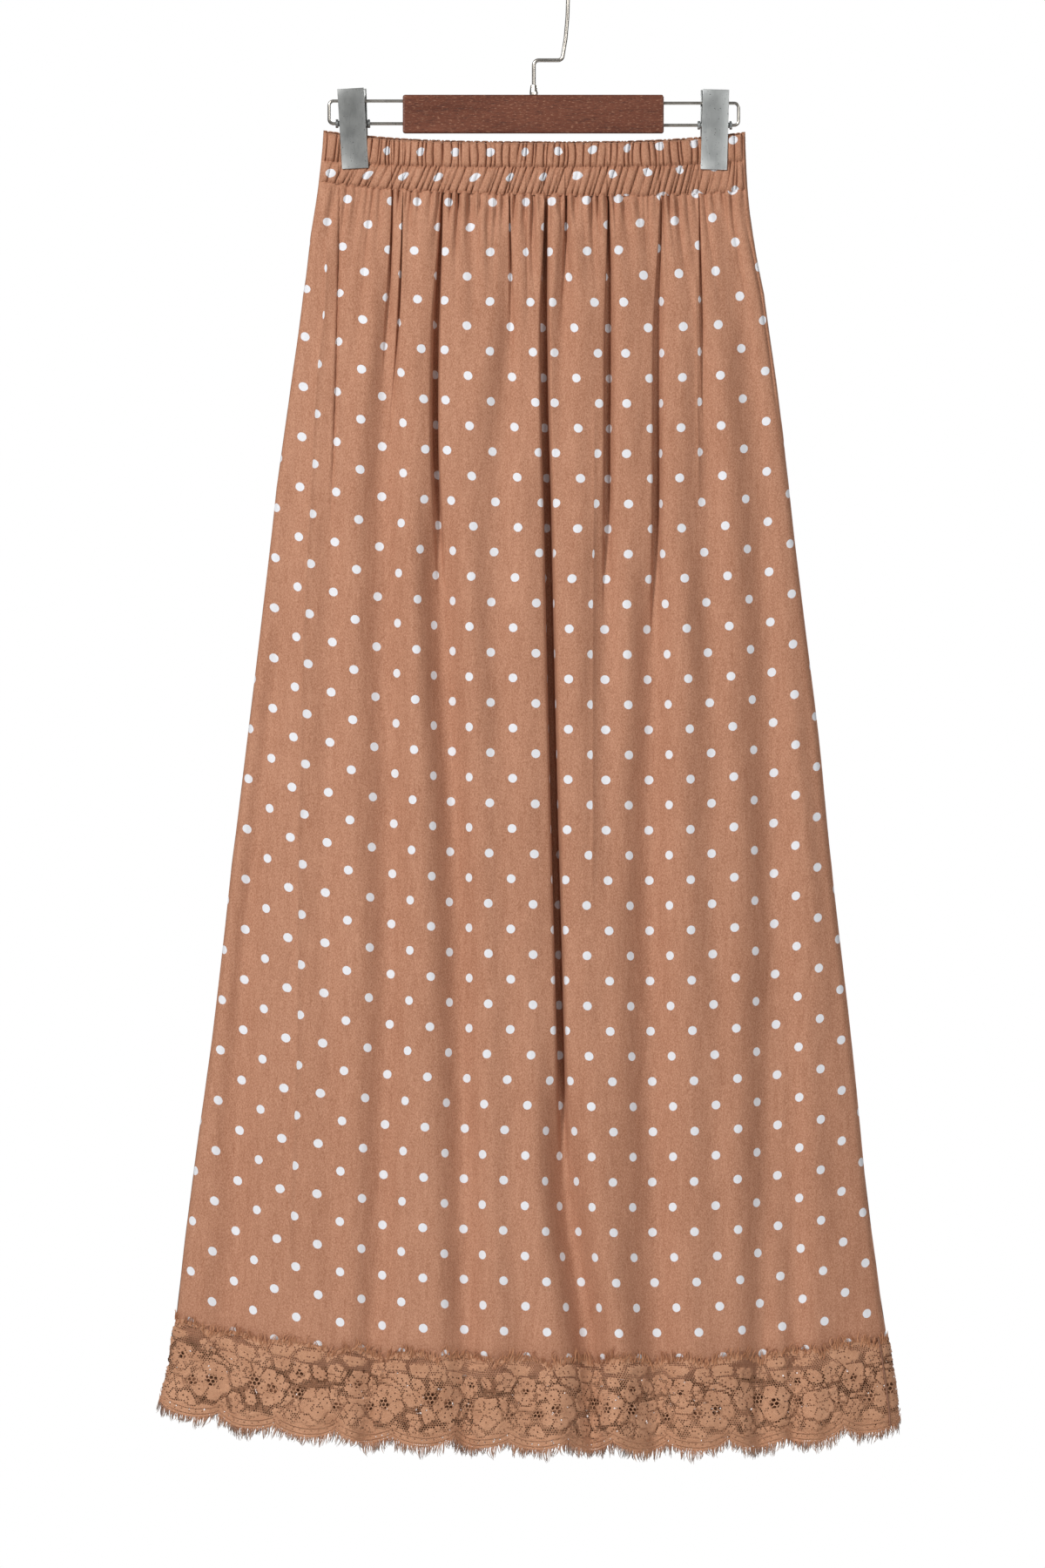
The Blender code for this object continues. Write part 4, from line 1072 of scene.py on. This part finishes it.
class Nodes:
    """The nodes of a finish or of the room's light."""

    def __init__(self, tree):
        self.tree = tree

    def fill(self, socket, value):
        if isinstance(value, Value):
            self.tree.links.new(value.socket, socket)
        elif value is not None:
            socket.default_value = value

    def node(self, kind, settings=None, inputs=None, output=0):
        """A node: its settings first, then the values or links of its sockets."""
        made = self.tree.nodes.new(kind)
        for name, value in (settings or {}).items():
            setattr(made, name, value)
        for name, value in (inputs or {}).items():
            self.fill(made.inputs[name], value)
        return Value(self, made.outputs[output])

    def maths(self, operation, first, second=None, third=None, clamp=False):
        settings = {"operation": operation, "use_clamp": clamp}
        return self.node("ShaderNodeMath", settings, {0: first, 1: second, 2: third})

    def parts(self, vector):
        """The three numbers of a vector."""
        first = self.node("ShaderNodeSeparateXYZ", inputs={0: vector})
        return [Value(self, socket) for socket in first.socket.node.outputs]


class Finish(Nodes):
    """A material: its shader, with values that are the same all over, and its nodes."""

    def __init__(self, name, values=None):
        self.material = bpy.data.materials.new(name)
        self.material.use_nodes = True
        super().__init__(self.material.node_tree)
        self.shader = self.tree.nodes["Principled BSDF"]
        self.set(values or {})

    def set(self, values):
        """Gives the shader values or links."""
        for name, value in values.items():
            self.fill(self.shader.inputs[name], value)

    def mix(self, share, first, second):
        """A colour between two."""
        return self.node("ShaderNodeMix", {"data_type": "RGBA"}, {0: share, 6: first, 7: second}, output=2)

    def peaks(self, value, gain, start):
        """A value made steeper and held between 0 and 1."""
        return self.maths("MULTIPLY_ADD", value, gain, start, clamp=True)

    def contrast(self, value, gain):
        return self.peaks(value - 0.5, gain, 0.5)

    def noise(self, where, scale, detail=3.0, roughness=0.55):
        """Cloudy noise; three scales stretch it along the axes."""
        if isinstance(scale, tuple):
            where = self.node("ShaderNodeVectorMath", {"operation": "MULTIPLY"}, {0: where, 1: scale})
            scale = 1.0
        sockets = {"Vector": where, "Scale": scale, "Detail": detail, "Roughness": roughness}
        return self.node("ShaderNodeTexNoise", inputs=sockets)

    def woven_lines(self, where, scale, distortion, detail, detail_scale):
        settings = {"wave_type": "BANDS", "bands_direction": "DIAGONAL", "wave_profile": "SIN"}
        sockets = {"Vector": where, "Scale": scale, "Distortion": distortion, "Detail": detail,
                   "Detail Scale": detail_scale}
        return self.node("ShaderNodeTexWave", settings, sockets)

    def places(self):
        """Places on the object in metres."""
        return self.node("ShaderNodeTexCoord", output="Object")

    def carried(self):
        """The three numbers that a piece carries at each of its points."""
        return self.parts(self.node("ShaderNodeAttribute", {"attribute_name": "cut"}, output="Vector"))

    def bump(self, height, distance, strength=1.0):
        sockets = {"Strength": strength, "Distance": distance, "Height": height}
        self.set({"Normal": self.node("ShaderNodeBump", inputs=sockets)})


def color(red, green, blue):
    return (red, green, blue, 1.0)


def dot_distance(finish, across, down, squeeze, shift):
    """Distance on the cloth to the nearest dot of one of the two lattices, in mm."""
    squares = []
    for place, phase, drawn in ((across, DOT_PHASE[0], squeeze), (down, DOT_PHASE[1], 1.0)):
        step = (place - phase) / DOT_PITCH + (0.5 + shift)
        off = (finish.maths("FRACT", step) - 0.5) * DOT_PITCH * drawn
        squares.append(off * off)
    return finish.maths("SQRT", squares[0] + squares[1])


def dotted_twill():
    """Soft woven cloth in light brown, printed with white dots."""
    finish = Finish("dotted_twill", {
        "Sheen Weight": 0.06, "Sheen Roughness": 0.45, "Sheen Tint": color(0.95, 0.70, 0.55),
        "Specular IOR Level": 0.22})
    across, down, squeeze = finish.carried()
    lattices = (dot_distance(finish, across, down, squeeze, shift) for shift in (0.0, 0.5))
    nearest = finish.maths("MINIMUM", *lattices)
    where = finish.places()
    ragged = finish.noise(where, 900.0, 2.0)
    edge = DOT_RADIUS + (ragged - 0.5) * 0.5 - nearest
    dots = finish.maths("MULTIPLY", edge, 3.5, clamp=True)
    warp = finish.noise(where, (1250.0, 1250.0, 800.0), 2.0)
    slub = finish.noise(where, (300.0, 300.0, 50.0), 3.0)
    cloud = finish.noise(where, 9.0, 3.0)
    shade = finish.contrast(warp * 0.66 + slub * 0.22 + cloud * 0.12, 3.3)
    brown = finish.mix(shade, color(0.350, 0.150, 0.083), color(0.555, 0.286, 0.180))
    white = finish.mix(warp, color(0.72, 0.72, 0.75), color(0.82, 0.82, 0.85))
    finish.set({"Base Color": finish.mix(dots, brown, white), "Roughness": 0.78 - shade * 0.12})
    twill = finish.woven_lines(where, 620.0, 1.6, 1.0, 3.0)
    finish.bump(twill * 0.45 + warp * 0.7 + slub * 0.5, 0.00022, 0.55)
    return finish.material


def lace_thread():
    """Matt thread of the lace, uneven in tone, with close woven lines where it is dense, and painted shade in
    dark brown on the sunk linings of the back lace's holes.
    """
    finish = Finish("lace_thread", {
        "Sheen Weight": 0.12, "Sheen Roughness": 0.5, "Specular IOR Level": 0.25})
    where = finish.places()
    fine = finish.noise(where, 1500.0, 2.0)
    patch = finish.noise(where, 60.0, 3.0)
    lines = finish.woven_lines(where, 480.0, 4.0, 2.0, 2.0)
    shade = finish.contrast(fine * 0.45 + patch * 0.35 + lines * 0.2, 2.0)
    thread = finish.mix(shade, color(0.350, 0.154, 0.077), color(0.695, 0.386, 0.237))
    # Painted shade: the linings of the back lace's holes take a near-black brown.
    painted_shade_lining = finish.mix(finish.carried()[0], thread, color(0.125, 0.054, 0.026))
    finish.set({"Base Color": painted_shade_lining, "Roughness": 0.86 - shade * 0.1})
    finish.bump(lines * 0.5 + fine * 0.8, 0.00025, 0.7)
    return finish.material


def lash_thread():
    """Loose ends of the lace's thread, orange-brown above and greyer towards the tips below; the grey is
    painted light, the white backdrop seen through the thin ends.
    """
    finish = Finish("lash_thread", {"Sheen Weight": 0.1, "Specular IOR Level": 0.25})
    grey, tone, _ = finish.carried()
    fine = finish.noise(finish.places(), 900.0, 2.0)
    warm = finish.mix(tone * 0.7 + fine * 0.3, color(0.330, 0.134, 0.064), color(0.610, 0.300, 0.160))
    backdrop_grey = finish.mix(tone, color(0.240, 0.180, 0.150), color(0.450, 0.375, 0.330))
    finish.set({"Base Color": finish.mix(grey, warm, backdrop_grey), "Roughness": 0.86 - fine * 0.1})
    return finish.material


def sewing_thread():
    finish = Finish("sewing_thread")
    twist = finish.noise(finish.places(), (2400.0, 900.0, 2400.0), 1.0)
    tone = finish.mix(twist, color(0.20, 0.085, 0.048), color(0.34, 0.165, 0.10))
    finish.set({"Base Color": tone, "Roughness": 0.62 - twist * 0.1})
    finish.bump(twist, 0.0001, 0.5)
    return finish.material


def stained_wood():
    """Red-brown stained wood with short light flecks and dark pores along the grain."""
    finish = Finish("stained_wood", {
        "Coat Weight": 0.06, "Coat Roughness": 0.3, "Specular IOR Level": 0.3})
    where = finish.places()
    figure = finish.noise(where, (7.0, 60.0, 60.0), 4.0)
    streak = finish.noise(where, (60.0, 700.0, 700.0), 3.0, 0.6)
    fleck = finish.noise(where, (330.0, 1500.0, 1500.0), 2.0)
    pore = finish.noise(where, (190.0, 2100.0, 2100.0), 1.0)
    tone = finish.contrast(figure * 0.55 + streak * 0.45, 2.2)
    base = finish.mix(tone, color(0.080, 0.020, 0.010), color(0.195, 0.060, 0.031))
    light, dark = finish.peaks(fleck, 8.0, -4.5), finish.peaks(pore, 8.0, -4.6)
    flecked = finish.mix(light * 0.7, base, color(0.40, 0.20, 0.12))
    finish.set({
        "Base Color": finish.mix(dark * 0.6, flecked, color(0.045, 0.014, 0.010)),
        "Roughness": 0.36 + tone * 0.16 + dark * 0.2})
    finish.bump(streak * 0.4 - dark * 0.6 + light * 0.2, 0.00025, 0.45)
    return finish.material


def metal(name, dark, light, roughness):
    """Plated metal with fine rub marks, small dark specks and a cloudy sheen."""
    finish = Finish(name, {"Metallic": 1.0})
    where = finish.places()
    cloud = finish.noise(where, 108.0, 4.0)
    rub = finish.noise(where, (1800.0, 1800.0, 180.0), 2.0)
    spots = finish.peaks(finish.noise(where, 810.0, 1.0), 14.0, -9.6)
    tone = finish.contrast(cloud * 0.6 + rub * 0.4, 2.0)
    plated = finish.mix(tone, color(*dark), color(*light))
    finish.set({
        "Base Color": finish.mix(spots * 0.7, plated, color(0.07, 0.07, 0.065)),
        "Roughness": roughness + tone * 0.14 + spots * 0.3})
    finish.bump(rub * 0.4 - spots * 0.8, 0.00012, 0.4)
    return finish.material


# ---------------------------------------------------------------- the hanger
RUNNER_RADIUS, RUNNER_BEND, SOCKET_DEPTH = 1.2, 3.3, 12.0
Runner = namedtuple("Runner", "name bar_end far_end top foot")
RUNNERS = (
    Runner("left", -97.8, -152.8, -107.9, -124.8),
    Runner("right", 97.0, 152.8, -109.5, -126.0),
)
HOOK_RADIUS, HOOK_CROWN = 1.45, 26.0
BAR_TOP = -103.35
JOG_Z, JOG_BEND, JOG_OUT = -77.5, 3.6, 21.6
RISER = ((23.7, -61.5), (25.1, -45.0))
JAW_WIDTH, JAW_HEIGHT, JAW_METAL = 19.8, 59.8, 1.2
SLEEVE_RADIUS, COLLAR_RADIUS, COLLAR_LENGTH, SLEEVE_LENGTH = 2.1, 3.25, 2.0, 25.8
Clip = namedtuple("Clip", "side x z turn back_turn back_shift runner")
CLIPS = (
    Clip("left", -135.0, -128.6, 3.4, 1.6, 1.0, RUNNERS[0]),
    Clip("right", 135.1, -129.4, -1.5, -0.4, -0.8, RUNNERS[1]),
)
# Height, the plate's inner face and its folded edge, from the pivot.
JAW_SECTIONS = (
    (0.0, 4.30, 4.05),
    (1.6, 4.00, 3.75),
    (12.0, 4.15, 3.85),
    (22.0, 4.30, 3.95),
    (26.5, 4.55, 4.15),
    (29.5, 4.75, 2.40),
    (38.0, 5.30, 2.40),
    (52.0, 6.30, 2.60),
    (59.8, 6.90, 5.20),
)
# Name, dark and light colour, and roughness.
# The two clips have one zinc plating, given two tones here: the left clip's darker copy is painted shade and
# the right clip's lighter copy painted light.
PLATINGS = (
    ("hook_steel", (0.40, 0.37, 0.33), (0.56, 0.53, 0.48), 0.22),
    ("zinc_left", (0.27, 0.275, 0.27), (0.34, 0.345, 0.335), 0.38),
    ("zinc_right", (0.42, 0.435, 0.43), (0.52, 0.535, 0.525), 0.36),
)


def arc(center_x, center_z, radius, start, end, steps):
    """Points of a round stretch; degrees from +X towards +Z."""
    turns = np.radians(np.linspace(start, end, steps + 1))
    return [(center_x + radius * c, 0.0, center_z + radius * s) for c, s in zip(np.cos(turns), np.sin(turns))]


def wire(name, route, radius, finish, node, sides=18):
    """A round wire along points in the plane of the hanger."""
    line = np.array(route, float)[None]
    along = unit(np.gradient(line, axis=1))
    across = np.stack([-along[..., 2], 0.0 * along[..., 0], along[..., 0]], axis=-1)
    deep = np.array((0.0, 1.0, 0.0)) + 0.0 * line
    points, faces = strands(line, radius * across, radius * deep, sides)
    piece = new_piece(name, points, faces, finish, "steel", [node])
    face_outwards(piece, sharp_angle=50)


def runner_route(runner):
    out = 1.0 if runner.far_end > 0.0 else -1.0
    root_x = runner.bar_end - out * (SOCKET_DEPTH - SEAM_GAP)
    bend_x = runner.far_end - out * RUNNER_BEND
    quarter = (90.0, 0.0, -90.0) if out > 0.0 else (90.0, 180.0, 270.0)
    route = [(root_x, 0.0, runner.top), (runner.bar_end, 0.0, runner.top)]
    route += arc(bend_x, runner.top - RUNNER_BEND, RUNNER_BEND, quarter[0], quarter[1], 8)
    route += arc(bend_x, runner.foot + RUNNER_BEND, RUNNER_BEND, quarter[1], quarter[2], 8)
    return route + [(runner.bar_end, 0.0, runner.foot), (root_x, 0.0, runner.foot)]


def hook_route():
    """Up from the bar, a jog to the right, and over the crown."""
    route = [(0.0, 0.0, BAR_TOP - SOCKET_DEPTH + SEAM_GAP), (0.0, 0.0, BAR_TOP)]
    route += arc(JOG_BEND, JOG_Z - JOG_BEND, JOG_BEND, 180, 90, 8)
    route += arc(JOG_OUT - JOG_BEND, JOG_Z + JOG_BEND, JOG_BEND, 270, 353, 8)
    route += [(x, 0.0, z) for x, z in RISER]
    return route + arc(0.0, HOOK_RADIUS - HOOK_CROWN, HOOK_CROWN, -10, 196, 48)


def pivot_sleeve(clip, finish, sides=28):
    """The sleeve that the jaws turn on, with a rounded collar at each end."""
    bore = RUNNER_RADIUS + 0.35
    end, neck, ease = 0.5 * SLEEVE_LENGTH, 0.5 * SLEEVE_LENGTH - COLLAR_LENGTH, 0.3
    half = (
        (neck, SLEEVE_RADIUS), (neck, COLLAR_RADIUS - ease), (neck + ease, COLLAR_RADIUS),
        (end - ease, COLLAR_RADIUS), (end, COLLAR_RADIUS - ease), (end, bore))
    x, radius = np.array([(-x, radius) for x, radius in reversed(half)] + list(half)).T
    turns = math.tau * np.arange(sides)[:, None] / sides
    points = np.stack([x + clip.x + 0.0 * turns, radius * np.cos(turns),
                       radius * np.sin(turns) + clip.runner.foot], axis=-1)
    number = np.arange(sides * len(x)).reshape(sides, -1)
    faces = round_faces(np.concatenate([number, number[:1]]))
    name = f"clip_{clip.side}_pivot"
    face_outwards(new_piece(f"{name}_sleeve", points, faces, finish, "zinc", [name]), sharp_angle=35)


def jaw(clip, sign, finish):
    """A pressed jaw: a plate whose long edges are folded in towards the pivot, with soft edges."""
    half = 0.5 * JAW_WIDTH
    inside = half - JAW_METAL
    rows = []
    for height, plate, edge in JAW_SECTIONS:
        outside = plate + JAW_METAL
        rows.append([(x, sign * y, height - 0.5 * JAW_HEIGHT) for x, y in (
            (-half, outside), (half, outside), (half, edge), (inside, edge),
            (inside, plate), (-inside, plate), (-inside, edge), (-half, edge))])
    place = "front" if sign == FRONT else "back"
    shift, turn = (0.0, clip.turn) if sign == FRONT else (clip.back_shift, clip.back_turn)
    tilt = Matrix.Rotation(math.radians(-turn), 3, "Y")
    points = np.array(rows).reshape(-1, 3) @ np.array(tilt).T + np.array((clip.x + shift, 0.0, clip.z))
    faces = round_faces(np.arange(len(points)).reshape(-1, 8))
    for base in (0, len(points) - 8):
        faces += [[base + corner for corner in cap] for cap in ((0, 5, 6, 7), (0, 1, 4, 5), (1, 2, 3, 4))]
    name = f"clip_{clip.side}_{place}_jaw"
    piece = new_piece(f"{name}_plate", points, faces, finish, "zinc", [name], smooth_shade=False)
    face_outwards(piece, sharp_angle=40.0, rounding=0.32)


def build_hanger():
    wood = stained_wood()
    steel, *zincs = (metal(*plating) for plating in PLATINGS)
    for node, finish in (("hanger_bar", wood), ("hook_ferrule", steel)):
        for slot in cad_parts[node].material_slots:
            slot.material = finish
    wire("hook_wire", hook_route(), HOOK_RADIUS, steel, "hook")
    for runner in RUNNERS:
        wire(f"runner_{runner.name}", runner_route(runner), RUNNER_RADIUS, steel, f"wire_{runner.name}")
    for clip, zinc in zip(CLIPS, zincs):
        pivot_sleeve(clip, zinc)
        for sign in (FRONT, BACK):
            jaw(clip, sign, zinc)


# ---------------------------------------------------------------- the skirt
def build_skirt():
    twill, thread, lash, sewing = dotted_twill(), lace_thread(), lash_thread(), sewing_thread()
    front = LacePlaces(SIDES[0])
    for side in SIDES:
        body = panel(side, twill)
        band = casing(side, twill)
        rows = stitches(side, sewing)
        places = LacePlaces(side)
        border = lace(places, front, thread)
        together = [lashes(places, lash)]
        if side.sign == FRONT:
            together.append(lace_seam(places, sewing))


# ---------------------------------------------------------------- studio
VIEW_MIDDLE = (-8.45, -617.5)     # x and z of the middle of the photograph, mm
VIEW_DISTANCE, VIEW_LENS, SENSOR = 13000.0, 400.0, 36.0
FLOOR_Z, FLOOR_RADIUS, FLOOR_SIDES = -2100.0, 2300.0, 96
# Name, place in metres, width in metres and power in watts.
LIGHTS = (
    ("soft_key", (-1.9, -2.6, 1.1), 0.8, 103.0),
    ("soft_fill", (2.2, -3.6, -0.3), 1.6, 41.0),
    ("soft_back", (1.9, 3.0, 0.9), 1.2, 85.0),
)
# Light of the room: from the front to the back, and the share of it from below and from above.
ROOM_LIGHT = (-1.0, 1.0, 0.23, 0.38)
ROOM_SHARES = (-0.5, 0.4, 0.22, 1.0)


def build_camera():
    lens = bpy.data.cameras.new("photo_camera")
    lens.sensor_width = SENSOR
    lens.lens = VIEW_LENS
    lens.clip_end = 100.0
    camera = placed("photo_camera", lens)
    camera.location = Vector((VIEW_MIDDLE[0], -VIEW_DISTANCE, VIEW_MIDDLE[1])) * MM
    camera.rotation_euler = (math.radians(90.0), 0.0, 0.0)
    bpy.context.scene.camera = camera


def build_floor():
    """A plain pale floor, round, under the hanging skirt."""
    turns = math.tau * np.arange(FLOOR_SIDES) / FLOOR_SIDES
    points = [(0.0, 0.0, FLOOR_Z)]
    for radius in (0.5 * FLOOR_RADIUS, FLOOR_RADIUS):
        points += [(radius * math.cos(turn), radius * math.sin(turn), FLOOR_Z) for turn in turns]
    number = 1 + np.arange(2 * FLOOR_SIDES).reshape(2, -1)
    faces = [(0, first, 1 + first % FLOOR_SIDES) for first in number[0].tolist()]
    mesh = bpy.data.meshes.new("floor")
    mesh.from_pydata([Vector(point) * MM for point in points], [], faces + round_faces(number[::-1]))
    floor = placed("floor", mesh)
    finish = Finish("pale_floor", {"Roughness": 0.7})
    grain = finish.noise(finish.places(), 40.0, 3.0)
    finish.set({"Base Color": finish.mix(grain, color(0.78, 0.78, 0.77), color(0.84, 0.84, 0.83))})
    mesh.materials.append(finish.material)


def area_light(name, place, size, power):
    light = bpy.data.lights.new(name, "AREA")
    light.shape = "DISK"
    light.size = size
    light.energy = power
    lamp = placed(name, light)
    lamp.location = place
    aim = Vector((0.0, 0.0, VIEW_MIDDLE[1] * MM)) - lamp.location
    lamp.rotation_euler = aim.to_track_quat("-Z", "Y").to_euler()


def build_world():
    """A white backdrop for the camera; as a light it is soft and brighter from the front."""
    world = bpy.data.worlds.new("white_room")
    world.use_nodes = True
    bpy.context.scene.world = world
    room = Nodes(world.node_tree)
    _, deep, high = room.parts(room.node("ShaderNodeTexCoord", output="Generated"))
    names = ("Value", "From Min", "From Max", "To Min", "To Max")
    from_front, from_above = (
        room.node("ShaderNodeMapRange", inputs=dict(zip(names, (place, *stops))))
        for place, stops in ((deep, ROOM_LIGHT), (high, ROOM_SHARES)))
    seen = room.node("ShaderNodeLightPath", output="Is Camera Ray")
    strength = room.node("ShaderNodeMix", inputs={0: seen, 2: from_front * from_above, 3: 1.0})
    background = room.tree.nodes["Background"]
    room.fill(background.inputs["Color"], color(1.0, 1.0, 1.0))
    room.fill(background.inputs["Strength"], strength)


def build_studio():
    build_camera()
    build_floor()
    build_world()
    for light in LIGHTS:
        area_light(*light)
    bpy.context.scene.view_settings.view_transform = "Standard"


build_studio()
build_skirt()
build_hanger()
